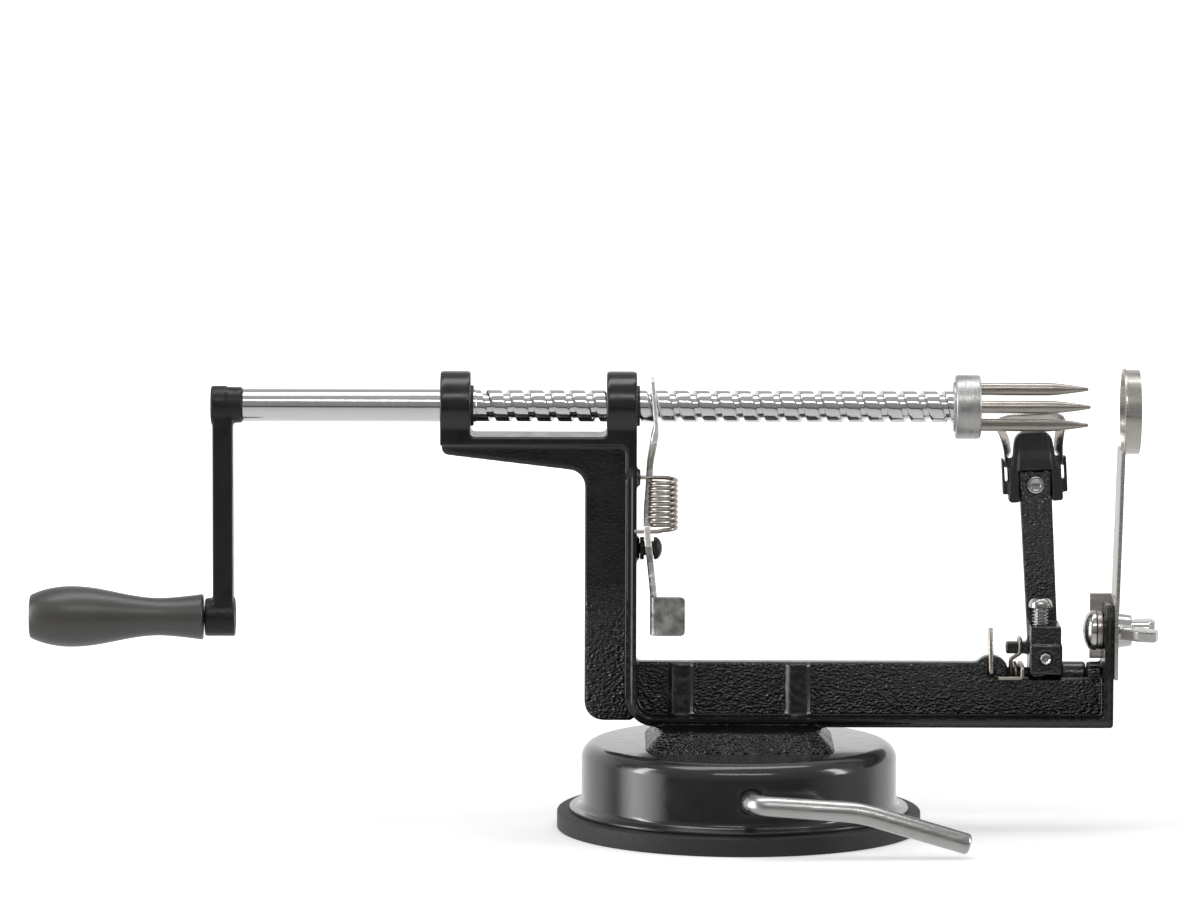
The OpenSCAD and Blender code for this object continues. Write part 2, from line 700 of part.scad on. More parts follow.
module crank_arm() color("#19191b") difference() {
    union() {
        translate([crank_boss_x, 0, axis_z]) along_x(2 * crank_boss_r, crank_boss_l);
        translate([grip_boss_x, 0, grip_z]) along_x(2 * crank_boss_r, grip_boss_l);
        plate_yz(crank_x, crank_t) {
            translate([-crank_boss_r * 0.82, grip_z]) square([crank_boss_r * 1.64, crank_throw]);
        }
    }
    translate([crank_boss_x - 1, 0, axis_z]) along_x(spigot_d + 2 * seat_clear, crank_boss_l + 2);
    translate([grip_boss_x - 1, 0, grip_z]) along_x(grip_pin_d + 2 * seat_clear, grip_boss_l + 2);
}

module handle_pin() color("#77787a") {
    pin_end = 4;
    rivet_t = 0.8;
    translate([grip_x - grip_l + pin_end, 0, grip_z])
        along_x(grip_pin_d, grip_l - pin_end + grip_gap + grip_boss_l);
    translate([grip_boss_x + grip_boss_l, 0, grip_z]) along_x(grip_pin_d + 2, rivet_t, grip_pin_d + 0.6);
}

// Grip's radius at a share of its length from the thick end
function grip_r(s) =
    let (fat_s = 0.24, waist_s = 0.75, round_s = 0.335)
    s < fat_s ? grip_fat_d / 2 * sqrt(1 - pow((fat_s - s) / round_s, 2)) :
    s < waist_s ? (grip_fat_d + grip_waist_d) / 4
        + (grip_fat_d - grip_waist_d) / 4 * cos(180 * (s - fat_s) / (waist_s - fat_s)) :
    grip_waist_d / 2 + (grip_collar_d - grip_waist_d) / 2 * pow((s - waist_s) / (1 - waist_s), 1.5);

module handle_grip() color("#202022") translate([grip_x - grip_l, 0, grip_z])
    rotate([0, 90, 0]) difference() {
    steps = 28;
    rotate_extrude() polygon(concat(
        [[0, 0]], [for (i = [0:steps]) [grip_r(i / steps), grip_l * i / steps]], [[0, grip_l]]
    ));
    translate([0, 0, 3.4]) cylinder(d = grip_pin_d + 2 * run_clear, h = grip_l);
}

// Fork
module fork_hub() color("#b4b4b2") translate([hub_x, 0, axis_z]) difference() {
    union() {
        rotate([0, 90, 0]) rotate_extrude() polygon(rounded([
            [0, 0, 0], [hub_d / 2, 0, 0.5], [hub_d / 2, hub_l, 0.5], [0, hub_l, 0]
        ]));
        translate([-hub_step, 0, 0]) along_x(hub_step_d, hub_step + 1);
    }
    translate([-hub_step - 1, 0, 0]) along_x(spigot_d + 2 * seat_clear, hub_l + hub_step + 2);
    each_prong() translate([hub_l - prong_seat, 0, 0]) along_x(prong_d + 2 * seat_clear, prong_seat + 1);
}

module each_prong() for (i = [0:2])
    rotate([prong_turn + 120 * i, 0, 0]) translate([0, prong_circle_r, 0]) children();

module fork_prongs() color("#a39d96") translate([hub_x, 0, axis_z]) each_prong() {
    shank_x = hub_l - prong_seat + seat_clear;
    point_x = hub_l + prong_l - point_l;
    tip_d = 0.9;
    translate([shank_x, 0, 0]) along_x(prong_d, point_x - shank_x);
    translate([point_x, 0, 0]) along_x(prong_d, point_l, tip_d);
}

// Release
tab_drop = 12.3;
tab_top = -stud_drop - tab_drop;
tab_low = tab_top - tab_h;
tab_front = release_low_y + 2.3;
fold_r = 1.9;
plate_low = tab_low - 0.4;
plate_high = thread_r + 3.7;
plate_heights = [
    plate_high, 0, -0.2 * stud_drop, -0.32 * stud_drop, -0.57 * stud_drop,
    -0.8 * stud_drop, -1.02 * stud_drop, tab_top, plate_low
];
plate_bows = [0.7, 0, -0.6, 1.2, 1.4, 2.3, 1.4, 0.2, 0.2];
plate_table = [for (i = [0:len(plate_heights) - 1]) [plate_heights[i], plate_bows[i]]];
function plate_bow(rise) = -tooth_x - lookup(rise, plate_table);

module release_outline() {
    near = -2.2;
    far = 6;
    notch_r = thread_r + 0.9;
    lip = 2.6;
    top = notch_r + lip;
    head_y = -thread_r - 5.2;
    tab_y = tab_front + fold_r + 0.2;
    hole_y = release_low_y - 2.2;
    difference() {
        polygon([
            [head_y, top], [2, top], [2, notch_r], [far, -notch_r - 1], [far, -stud_drop - 6], [2, tab_top],
            [2, tab_low], [tab_y, tab_low], [tab_y, tab_top], [near - 1, tab_top + 6],
            [near - 3, -stud_drop - 3], [hole_y, -stud_drop + 2], [hole_y, -stud_drop + 7.6],
            [near, -stud_drop + 9], [near, -0.44 * stud_drop], [head_y, -notch_r - 3.8]
        ]);
        circle(r = notch_r);
        translate([0, -notch_r]) square([far + 1, 2 * notch_r]);
    }
}

// Thumb tab: the plate's edge folds round to the right, and the tab's free corners are rounded
module thumb_tab() {
    x = plate_bow(tab_top);
    left = x - plate_t / 2;
    right = x + tab_w;
    back = tab_front + fold_r + 1;
    intersection() {
        translate([0, 0, tab_low]) linear_extrude(tab_h) polygon(rounded([
            [left, back, 0], [left, tab_front, fold_r], [right, tab_front, 0],
            [right, tab_front + plate_t, 0],
            [left + plate_t, tab_front + plate_t, fold_r - plate_t], [left + plate_t, back, 0]
        ]));
        plate_xz(rounded([
            [left - 1, tab_low, 0], [right, tab_low, 1.2], [right, tab_top, 1.2], [left - 1, tab_top, 0]
        ]), tab_front - 1, fold_r + 4);
    }
}

module release_plate() color("#9a9690") translate([0, 0, axis_z]) {
    tooth_tip = root_r + pass_clear;
    tilt = atan(plate_bows[0] / plate_high);
    reach = 2 * tooth_x;
    span = 3 * release_coil_d;
    last = len(plate_heights) - 1;
    hook_z = release_z0 - axis_z - release_pitch / 4;
    difference() {
        union() {
            intersection() {
                plate_yz(-reach, reach) release_outline();
                plate_xz(concat(
                    [for (h = plate_heights) [plate_bow(h) - plate_t / 2, h]],
                    [for (i = [last:-1:0]) [plate_bow(plate_heights[i]) + plate_t / 2, plate_heights[i]]]
                ), -span, 2 * span);
            }
            translate([-tooth_x, 0, 0]) rotate([0, -tilt, 0])
                block([-tooth_t / 2, -thread_r - 2, -tooth_w / 2], [tooth_t / 2, -tooth_tip, tooth_w / 2]);
            thumb_tab();
        }
        translate([-reach, 0, -stud_drop]) along_x(stud_d + 2 * run_clear, reach);
        translate([-reach, release_low_y, hook_z]) along_x(wire_hole_d, reach);
    }
}

// Stud with a collar on the column and a domed head outside the plate
module release_stud() color("#1b1b1d") translate([0, 0, stud_z]) {
    room = 0.7;
    head_l = 2.3;
    seat_x = column_face + stud_seat_l;
    plate_x = plate_bow(-stud_drop);
    collar_x = plate_x - plate_t / 2 - room;
    head_x = plate_x + plate_t / 2 + room;
    translate([column_face - strip_t + 0.4, 0, 0]) along_x(stud_d - 1, strip_t + 0.5);
    translate([seat_x, 0, 0]) along_x(stud_head_d, collar_x - seat_x);
    translate([seat_x, 0, 0]) along_x(stud_d, head_x - seat_x + 0.5);
    translate([head_x, 0, 0]) rotate([0, 90, 0]) rotate_extrude() polygon(rounded([
        [0, 0, 0], [stud_head_d / 2, 0, 0.4], [stud_head_d / 2, head_l, head_l * 0.8], [0, head_l, 0]
    ]));
}

// Lower leg runs along -X through the plate, upper leg into the column
function release_path() =
    let (
        n = 8 * release_turns + 4,
        curls = [
            for (i = [0:n])
                let (turn = -90 + 45 * i)
                [
                    release_axis_x + release_r * cos(turn),
                    release_y + release_r * sin(turn),
                    release_z0 + release_pitch * i / 8
                ]
        ],
        first = curls[0],
        last = curls[n],
        low_x = plate_bow(release_z0 - axis_z) - plate_t / 2 - release_wire,
        low_z = first[2] - release_pitch / 4,
        high_x = column_face - strip_t / 2,
        bend = 1.4
    )
    concat(
        [[low_x, first[1], low_z], [first[0] - bend, first[1], low_z]],
        curls,
        [[last[0] - bend, last[1], release_z1], [high_x, last[1], release_z1]]);

module release_spring() color("#a49d92") tube(release_path(), release_wire, [0, 0, 1]);
echo(release_spring_gap = least_gap(release_path(), release_wire, 4));

// Peeling arm
module arm_pivot_rod() color("#2a2a2c")
    translate([ear_x + seat_clear, pivot_y, pivot_z])
        along_x(pivot_d, upright_x - ear_x + strip_t / 2 - 2 * seat_clear);

// Places the arm's bar, leaning to the left and to the back from the top of its block
module on_bar() translate([block_mid - bar_shift, pivot_y, block_top - bar_sink])
    rotate([-bar_back, -bar_lean, 0]) children();

module peeler_arm() color("#17171a") difference() {
    step = 0.3;
    low_h = 8;
    lock_hole_l = depth_y - block_front - depth_d / 2 + 1.6;
    union() {
        translate([block_x, pivot_y, pivot_z]) along_x(arm_hub_d, arm_hub_end - block_x);
        block([block_x, block_front, block_z], [block_x + block_w, pivot_y + arm_hub_d / 2, block_z + low_h]);
        block(
            [block_x + step, block_front + 0.5, block_z + low_h - 1],
            [block_x + block_w - step, pivot_y + bar_t / 2, block_top]);
        on_bar() plate_xz([
            [-bar_foot_w / 2, 0], [bar_foot_w / 2, 0], [bar_head_w / 2, bar_l], [-bar_head_w / 2, bar_l]
        ], -bar_t / 2, bar_t);
        block(
            [block_x - peg_l, pivot_y - peg_front, peg_z - peg_w / 2],
            [block_x + 1, pivot_y + peg_back, peg_z + peg_w / 2]);
    }
    translate([block_x - 1, pivot_y, pivot_z]) along_x(pivot_d + 2 * run_clear, arm_hub_end - block_x + 2);
    translate([depth_x, depth_y, 0]) cylinder(d = depth_d + 2 * seat_clear, h = axis_z);
    translate([block_mid, block_front - 1, lock_z]) along_y(lock_d + 4 * seat_clear, lock_hole_l);
    on_bar() translate([0, -bar_t, bar_l - blade_screw_drop])
        along_y(blade_screw_d + 2 * seat_clear, 2 * bar_t);
}

module depth_screw() color("#c9c9c6") translate([depth_x, depth_y, rail_low + pass_clear]) {
    head_h = 3;
    rim = 0.2;
    cylinder(d = depth_d, h = depth_l);
    translate([0, 0, depth_l]) rotate_extrude() polygon(rounded([
        [0, -rim, 0], [depth_head_d / 2, -rim, rim], [depth_head_d / 2, head_h, depth_head_d / 2.6],
        [0, head_h, 0]
    ]));
}

module arm_lock_screw() color("#b7b7b3") translate([block_mid, block_front - 0.3, lock_z]) {
    shank_l = 1.3;
    square_l = 1.2;
    translate([0, 1, 0]) along_y(lock_d, shank_l);
    along_y_square(lock_square, square_l);
}
module along_y_square(side, l) rotate([0, 45, 0]) translate([-side / 2, 0, -side / 2]) cube([side, l, side]);

// Coil round the rod: one end hooks over the peg, the other crosses the web and lies along it in front
function arm_spring_path() =
    let (
        r = arm_coil_d / 2,
        n = 8 * arm_turns - 2,
        curls = [
            for (i = [0:n])
                let (turn = 180 + 45 * i)
                [coil_x0 + arm_pitch * i / 8, pivot_y + r * cos(turn), pivot_z + r * sin(turn)]
        ],
        x1 = curls[n][0],
        near = pivot_y - r,
        front = -web_t / 2 - pass_clear - arm_wire / 2,
        top = peg_z + peg_w / 2 + pass_clear + arm_wire / 2,
        back = pivot_y + peg_back + pass_clear + arm_wire / 2,
        hook_x = coil_x0 + arm_pitch,
        round = 0.6
    )
    concat(
        [
            [hook_x, back, top - 2.6], [hook_x, back, top - round], [hook_x, back - round, top],
            [hook_x, near + round, top], [hook_x, near, top - round], [hook_x, near, peg_z - 0.8],
            [coil_x0, near, pivot_z + r + 1], [coil_x0, near, pivot_z + r / 2]
        ],
        curls,
        [
            [x1, front + round, pivot_z + r], [x1, front, pivot_z + r - round],
            [x1, front, rail_low + round], [x1 - round, front, rail_low], [x1 - arm_leg, front, rail_low]
        ]);

module arm_spring() color("#b3ada2") tube(arm_spring_path(), arm_wire, [1, 0, 0]);
echo(arm_spring_gap = least_gap(arm_spring_path(), arm_wire, 4));

// Latch wire: its foot passes through the ear, its finger stands up in front
function latch_path() =
    let (front = -web_t / 2 - pass_clear - arm_wire / 2, back = web_t / 2 + 2.4, bend = 0.9)
    [
        [ear_x, back, ear_z], [ear_x, front + bend, ear_z], [ear_x, front + bend * 0.3, ear_z + bend * 0.3],
        [ear_x, front, ear_z + bend], [ear_x - 0.3, front, ear_z + latch_l]
    ];
module latch_wire() color("#b3ada2") union() {
    translate([ear_x, -web_t / 2 - pass_clear, ear_z]) along_y(arm_wire, web_t + 2 * pass_clear);
    tube(latch_path(), arm_wire, [1, 0, 0]);
}

// Blade holder, in the bar's leaning frame with the bar's head at the origin
module on_head() on_bar() translate([0, 0, bar_l]) children();

module blade_holder() color("#1c1c1f") on_head() difference() {
    back = bar_t / 2;
    low = -8.6;
    behind = back + 2.6;
    shoulder = holder_w / 2 - 0.6;
    union() {
        plate_xz(rounded([
            [-holder_w / 2, low, 0.8], [holder_w / 2, low, 0.8], [shoulder, 0, 1],
            [nose_w / 2, 1.6, 1], [nose_top / 2, holder_h + low, nose_round],
            [-nose_top / 2, holder_h + low, nose_round], [-nose_w / 2, 1.6, 1], [-shoulder, 0, 1]
        ]), -back, back + behind);
        block([-cheeks_w / 2, back - 0.4, -6], [cheeks_w / 2, behind, 0.6]);
        for (side = [-1, 1]) translate([side * (cheeks_w - cheek_t) / 2, 0, 0])
            block([-cheek_t / 2, back - 1.4, -6.4], [cheek_t / 2, behind, 3.4]);
    }
    block(
        [-bar_head_w / 2 - seat_clear, -back - 1, low - 1],
        [bar_head_w / 2 + seat_clear, back + seat_clear, seat_clear]);
    translate([0, -bar_t, -blade_screw_drop]) along_y(blade_screw_d + 2 * seat_clear, 2 * bar_t + 4);
    for (side = [-1, 1]) translate([side * (cheeks_w / 2 - blade_inset), 0, 0])
        block([-blade_t / 2 - seat_clear, back - 2, -3], [blade_t / 2 + seat_clear, back + 3, 4]);
}

// Bent strip that stands in the cheeks and arches over the nose
function blade_outline(half, foot, knee, top, lean, bend) = rounded([
    [-half, foot, 0], [-half, knee, 0], [-half + lean, top, bend],
    [half - lean, top, bend], [half, knee, 0], [half, foot, 0]
]);

module peeling_blade() color("#c8c2ba") on_head() {
    half = cheeks_w / 2 - blade_inset + blade_t / 2;
    top = 16.4;
    bend = 4;
    foot = -2.8;
    knee = 3;
    lean = 1.2;
    inner = blade_outline(half - blade_t, foot, knee, top - blade_t, lean, bend - blade_t);
    plate_xz(concat(
        blade_outline(half, foot, knee, top, lean, bend),
        [for (i = [len(inner) - 1:-1:0]) inner[i]]
    ), bar_t / 2 - 1.4, blade_w);
}

module blade_screw() color("#d0cfca") on_head() translate([0, -bar_t / 2, -blade_screw_drop]) {
    head_t = 1;
    dish_t = 0.4;
    along_y(blade_screw_d, bar_t + 2.4);
    translate([0, -head_t, 0]) difference() {
        along_y(blade_screw_d + 1.6, head_t);
        translate([0, -dish_t, 0]) along_y(blade_screw_d - 0.2, 2 * dish_t);
    }
}

// Corer and its clamp
module corer_blade() color("#a8a39b") difference() {
    ring_x = slicer_x + 2.1;
    strip_h = ring_z - ring_d / 2 + 1.2 - bolt_z;
    flange_in = strip_w / 2 + pass_clear;
    blade_half = slicer_w / 2 - 0.3;
    pad_top = slicer_bottom + slicer_pad_h;
    union() {
        block([slicer_x, -slicer_w / 2, slicer_bottom], [nut_x, slicer_w / 2, pad_top]);
        block([upright_x - 3, flange_in, rail_low + 4], [nut_x, flange_in + slicer_t, pad_top]);
        translate([slicer_x, 0, bolt_z]) rotate([0, slicer_lean, 0])
            block([0, -blade_half, 6], [slicer_t, blade_half, strip_h]);
        translate([ring_x, 0, ring_z]) along_x(ring_d, ring_l);
        translate([ring_x, 0, ring_z]) along_x(ring_d + 0.7, 0.8);
    }
    translate([ring_x - 3, 0, ring_z]) along_x(2 * ring_in_r, ring_l + 6);
    translate([slicer_x - 1, 0, bolt_z]) along_x(bolt_d + 2 * seat_clear, 4);
}

module clamp_bolt() color("#cfcfcd") {
    head_t = 3.5;
    rim = 0.8;
    cap_h = head_t - rim;
    head_x = upright_x - washer_t - head_t;
    translate([0, 0, bolt_z]) difference() {
        union() {
            translate([head_x + head_t, 0, 0])
                along_x(bolt_d, washer_t + strip_t + slicer_t + wing_l * 0.8);
            translate([head_x, 0, 0]) rotate([0, 90, 0]) rotate_extrude() polygon(concat(
                [[0, head_t]],
                [
                    for (i = [0:10])
                        let (turn = 90 * i / 10)
                        [bolt_head_d / 2 * cos(turn), cap_h - cap_h * sin(turn)]
                ]
            ));
            translate([head_x + cap_h, 0, 0]) along_x(bolt_head_d, rim);
        }
        for (turn = [0, 90]) translate([head_x, 0, 0]) rotate([turn, 0, 0])
            block([-1, -2.2, -0.6], [1.4, 2.2, 0.6]);
    }
}

module clamp_washer() color("#3c3c3e") translate([upright_x - washer_t, 0, bolt_z]) difference() {
    along_x(bolt_head_d - 0.6, washer_t);
    translate([-1, 0, 0]) along_x(bolt_d + 2 * seat_clear, washer_t + 2);
}

module wing_nut() color("#c4c5c3") translate([nut_x, 0, bolt_z]) difference() {
    hub_len = wing_l * 0.36;
    wing_t = 3;
    lean = 95.5;
    union() {
        along_x(bolt_d + 4.6, hub_len, bolt_d + 3.4);
        for (side = [0, 180]) rotate([side + lean, 0, 0]) translate([0, -wing_t / 2, 0]) plate_xz(rounded([
            [0.8, 1, 0], [hub_len, 1, 0], [wing_l, wing_span * 0.62, 1.4],
            [wing_l * 0.86, wing_span, 1.4], [wing_l * 0.5, wing_span * 0.9, 1.4], [0.8, bolt_d / 2 + 2, 0]
        ]), 0, wing_t);
    }
    translate([-1, 0, 0]) along_x(bolt_d + 2 * run_clear, wing_l + 2);
}

frame_casting();
bush_left();
bush_right();
drive_screw();
crank_arm();
handle_pin();
handle_grip();
fork_hub();
fork_prongs();
release_plate();
release_stud();
release_spring();
arm_pivot_rod();
peeler_arm();
arm_spring();
latch_wire();
depth_screw();
arm_lock_screw();
blade_holder();
peeling_blade();
blade_screw();
corer_blade();
clamp_bolt();
clamp_washer();
wing_nut();
suction_dome();
suction_pad();
suction_lever();
pad_stem();
base_screws();
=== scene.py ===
"""Apple peeler: the finished looks of a hand-cranked peeler and corer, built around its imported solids."""

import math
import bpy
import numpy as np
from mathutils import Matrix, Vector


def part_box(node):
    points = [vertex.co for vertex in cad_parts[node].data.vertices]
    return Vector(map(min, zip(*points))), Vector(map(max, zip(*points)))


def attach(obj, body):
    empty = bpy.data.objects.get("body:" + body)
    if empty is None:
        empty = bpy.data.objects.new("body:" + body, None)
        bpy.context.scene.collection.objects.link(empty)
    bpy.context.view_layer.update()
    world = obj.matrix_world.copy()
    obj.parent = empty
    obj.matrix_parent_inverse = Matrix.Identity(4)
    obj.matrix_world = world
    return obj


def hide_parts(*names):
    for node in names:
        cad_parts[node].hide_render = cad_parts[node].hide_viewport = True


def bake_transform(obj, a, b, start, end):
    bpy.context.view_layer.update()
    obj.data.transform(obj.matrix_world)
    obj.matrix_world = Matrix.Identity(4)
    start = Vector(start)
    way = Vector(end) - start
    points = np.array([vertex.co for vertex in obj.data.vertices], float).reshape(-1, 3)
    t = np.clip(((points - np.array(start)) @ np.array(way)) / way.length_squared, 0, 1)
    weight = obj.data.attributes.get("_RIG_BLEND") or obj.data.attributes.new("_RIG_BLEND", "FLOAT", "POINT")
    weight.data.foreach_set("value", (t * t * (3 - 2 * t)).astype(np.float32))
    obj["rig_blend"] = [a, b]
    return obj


bl_info = {
    "name": "Apple peeler",
    "version": (1, 0, 0),
    "blender": (4, 5, 0),
    "location": "View3D > Sidebar > Peeler",
    "description": "Builds the peeler's castings, screw, blades, springs and suction base",
    "category": "Object",
}

import bmesh
import bpy
import numpy as np

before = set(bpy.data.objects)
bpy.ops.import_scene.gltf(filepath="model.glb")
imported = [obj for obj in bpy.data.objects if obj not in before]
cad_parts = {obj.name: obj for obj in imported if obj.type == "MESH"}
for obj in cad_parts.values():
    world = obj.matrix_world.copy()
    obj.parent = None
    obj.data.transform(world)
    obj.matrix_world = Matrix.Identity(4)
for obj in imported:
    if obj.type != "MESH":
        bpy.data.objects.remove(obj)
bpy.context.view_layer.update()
MM = 0.001


def box_mm(node):
    """Lowest and highest corner of a node in millimetres."""
    low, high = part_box(node)
    return np.array(low) / MM, np.array(high) / MM


# Places that the pieces share, in millimetres
SCREW_LOW, SCREW_HIGH = box_mm("drive_screw")
HUB_LOW, HUB_HIGH = box_mm("fork_hub")
PRONG_LOW, PRONG_HIGH = box_mm("fork_prongs")
GRIP_LOW, GRIP_HIGH = box_mm("handle_grip")
PAD_LOW, PAD_HIGH = box_mm("suction_pad")
DOME_LOW, DOME_HIGH = box_mm("suction_dome")
ROD_R = (SCREW_HIGH[2] - SCREW_LOW[2]) / 2
AXIS_Z = (SCREW_HIGH[2] + SCREW_LOW[2]) / 2
GRIP_Z = (GRIP_LOW[2] + GRIP_HIGH[2]) / 2
PIVOT_LOW, PIVOT_HIGH = box_mm("arm_pivot_rod")
PIVOT_Y = (PIVOT_LOW[1] + PIVOT_HIGH[1]) / 2
PIVOT_Z = (PIVOT_LOW[2] + PIVOT_HIGH[2]) / 2
LEVER_X, LEVER_Z, LEVER_R = 2.5, 13.9, 2.85
BASE_SIDES = 192
DIMPLE_SEED = 11


# Surfaces on grids


def eased(corners, steps=6):
    """Outline whose corners (a, b, radius) are replaced by arcs: each arc's centre lies on the corner's
    bisector at radius / sin(half angle), and its ends at radius / tan(half angle) along the two sides."""
    pts = np.array([c[:2] for c in corners], float)
    out = []
    for i, p in enumerate(pts):
        r = corners[i][2]
        if r <= 0 or i in (0, len(corners) - 1):
            out.append(p[None])
            continue
        u = (pts[i - 1] - p) / np.linalg.norm(pts[i - 1] - p)
        w = (pts[i + 1] - p) / np.linalg.norm(pts[i + 1] - p)
        half = math.acos(float(np.clip(u @ w, -1, 1))) / 2
        middle = p + (u + w) / np.linalg.norm(u + w) * r / math.sin(half)
        start = p + u * r / math.tan(half) - middle
        end = p + w * r / math.tan(half) - middle
        a0 = math.atan2(start[1], start[0])
        sweep = (math.atan2(end[1], end[0]) - a0 + math.pi) % (2 * math.pi) - math.pi
        turn = a0 + sweep * np.linspace(0, 1, steps + 1)
        out.append(middle + r * np.stack([np.cos(turn), np.sin(turn)], 1))
    return np.concatenate(out)


def sheet_faces(rows, cols, wrap):
    """Quads of a grid of rows by cols points; wrap joins the last column to the first."""
    i, j = np.meshgrid(np.arange(rows - 1), np.arange(cols if wrap else cols - 1), indexing="ij")
    k = (j + 1) % cols
    return np.stack([i * cols + j, i * cols + k, (i + 1) * cols + k, (i + 1) * cols + j], -1).reshape(-1, 4)


def turned(profile, origin, axis="x", sides=96):
    """Surface of revolution: a profile point (along, radius) at turn t lies at along on the axis and at
    radius * (cos t, sin t) across it."""
    profile = np.asarray(profile, float)
    t = np.linspace(0, 2 * np.pi, sides, endpoint=False)
    along = np.repeat(profile[:, :1], sides, 1)
    c, s = profile[:, 1:] * np.cos(t), profile[:, 1:] * np.sin(t)
    order = {"x": (along, c, s), "y": (s, along, c), "z": (c, s, along)}[axis]
    points = np.stack(order, -1) + np.asarray(origin, float)
    return points.reshape(-1, 3), sheet_faces(len(profile), sides, True)


def rounded_path(points, radius, steps=8):
    """Polyline whose inner corners become arcs that touch both sides at radius * tan(half the turn)."""
    p = np.asarray(points, float)
    out = [p[:1]]
    for i in range(1, len(p) - 1):
        u = (p[i - 1] - p[i]) / np.linalg.norm(p[i - 1] - p[i])
        w = (p[i + 1] - p[i]) / np.linalg.norm(p[i + 1] - p[i])
        half = math.acos(float(np.clip(u @ w, -1, 1))) / 2
        reach = radius / math.tan(half)
        middle = p[i] + (u + w) / np.linalg.norm(u + w) * radius / math.sin(half)
        x = p[i] + u * reach - middle
        y = p[i] + w * reach - middle
        turn = np.linspace(0, 1, steps + 1)[:, None] * (math.pi - 2 * half)
        side = y - x * float(x @ y) / float(x @ x)
        side = side / np.linalg.norm(side) * radius
        out.append(middle + x * np.cos(turn) + side * np.sin(turn))
    out.append(p[-1:])
    return np.concatenate(out)


def carried(path, radius, sides=12):
    """Round profile carried along a path: each ring lies across the path's direction, and its first
    spoke is the last ring's spoke made square to the new direction. Radius may change along the path."""
    path = np.asarray(path, float)
    way = np.gradient(path, axis=0)
    way /= np.linalg.norm(way, axis=1)[:, None]
    spokes = np.empty_like(path)
    spoke = np.array([0.31, 0.23, 0.92])  # a way that no path takes
    for i, d in enumerate(way):
        spoke = spoke - d * float(spoke @ d)
        spoke /= np.linalg.norm(spoke)
        spokes[i] = spoke
    cross = np.cross(way, spokes)
    t = np.linspace(0, 2 * np.pi, sides, endpoint=False)
    r = np.broadcast_to(np.asarray(radius, float), (len(path),))[:, None, None]
    ring = spokes[:, None] * np.cos(t)[None, :, None] + cross[:, None] * np.sin(t)[None, :, None]
    body = path[:, None] + r * ring
    ends = np.repeat(path[[0, -1]][:, None], sides, 1)
    points = np.concatenate([ends[:1], body, ends[1:]])
    return points.reshape(-1, 3), sheet_faces(len(points), sides, True)


def smooth_curve(points, per):
    """Curve through the points: each stretch is the cubic whose slopes are half the neighbours' distance."""
    p = np.asarray(points, float)
    ext = np.concatenate([2 * p[:1] - p[1:2], p, 2 * p[-1:] - p[-2:-1]])
    t = np.linspace(0, 1, per, endpoint=False)[None, :, None]
    a, b, c, d = ext[:-3, None], ext[1:-2, None], ext[2:-1, None], ext[3:, None]
    out = 0.5 * (2 * b + (c - a) * t + (2 * a - 5 * b + 4 * c - d) * t**2 + (3 * b - a - 3 * c + d) * t**3)
    return np.concatenate([out.reshape(-1, 3), p[-1:]])


def band(front, back, thick):
    """Flat strip between two edges: its section joins the edges, and its faces lie half the thickness to
    either side along the cross product of the way along the strip and the way across it."""
    way = np.gradient((front + back) / 2, axis=0)
    across = back - front
    normal = np.cross(way, across)
    normal *= thick / 2 / np.linalg.norm(normal, axis=1)[:, None]
    lip, edge, corners = 0.06 * across, 0.3 * normal, 8
    ring = np.stack([front + edge, front + lip + normal, back - lip + normal, back + edge,
                     back - edge, back - lip - normal, front + lip - normal, front - edge], 1)
    ends = np.repeat(ring[[0, -1]].mean(1, keepdims=True), corners, 1)
    points = np.concatenate([ends[:1], ring, ends[1:]])
    return points.reshape(-1, 3), sheet_faces(len(points), corners, True)


def threaded(x0, x1, crest, root, lead, cut, first, fade, sides=72):
    """Threaded rod along X: a point at turn t and distance s lies at x = s + lead * t / 2 pi, so the grid
    follows the groove. Its radius is the crest's, less the groove's depth where s is near a groove; the
    cut gives the groove's half width at root and mouth. Rows past the ends are drawn back to them, and
    the depth fades out over the first and last stretch."""
    root_half, mouth_half = cut
    lip, shoulder = 0.12 * mouth_half, 0.94 * mouth_half
    shape_s = np.array([-mouth_half - lip, -mouth_half, -shoulder, -root_half, 0, root_half,
                        shoulder, mouth_half, mouth_half + lip])
    rest = np.linspace(mouth_half + lip, lead - mouth_half - lip, 5)[1:-1]
    depth_row = np.concatenate([[0, 0.06, 0.2, 1, 1, 1, 0.2, 0.06, 0], np.zeros(len(rest))])
    s_row = np.concatenate([shape_s, rest])
    n0 = math.floor((x0 - first) / lead) - 2
    n1 = math.ceil((x1 - first) / lead) + 1
    s = (first + lead * np.arange(n0, n1)[:, None] + s_row[None]).reshape(-1)
    depth = np.tile(depth_row, n1 - n0)
    t = np.linspace(0, 2 * np.pi, sides + 1)
    x = s[:, None] + lead * t[None] / (2 * np.pi)
    ease = np.clip(np.minimum(x - x0, x1 - x) / fade, 0, 1)
    r = crest - (crest - root) * depth[:, None] * ease * ease * (3 - 2 * ease)
    x = np.clip(x, x0, x1)
    points = np.stack([x, -r * np.cos(t), -r * np.sin(t)], -1)
    faces = sheet_faces(len(s), sides + 1, False)
    rim = np.linspace(0, 2 * np.pi, sides, endpoint=False)
    ends = []
    for x_end in (x0, x1):
        ring = np.stack([np.full(sides, x_end), -crest * np.cos(rim), -crest * np.sin(rim)], -1)
        caps = np.repeat([[x_end, 0.0, 0.0]], sides, 0)
        pair = np.concatenate([caps, ring] if x_end == x0 else [ring, caps])
        ends.append((pair, sheet_faces(2, sides, True)))
    return merged([(points.reshape(-1, 3), faces), *ends])


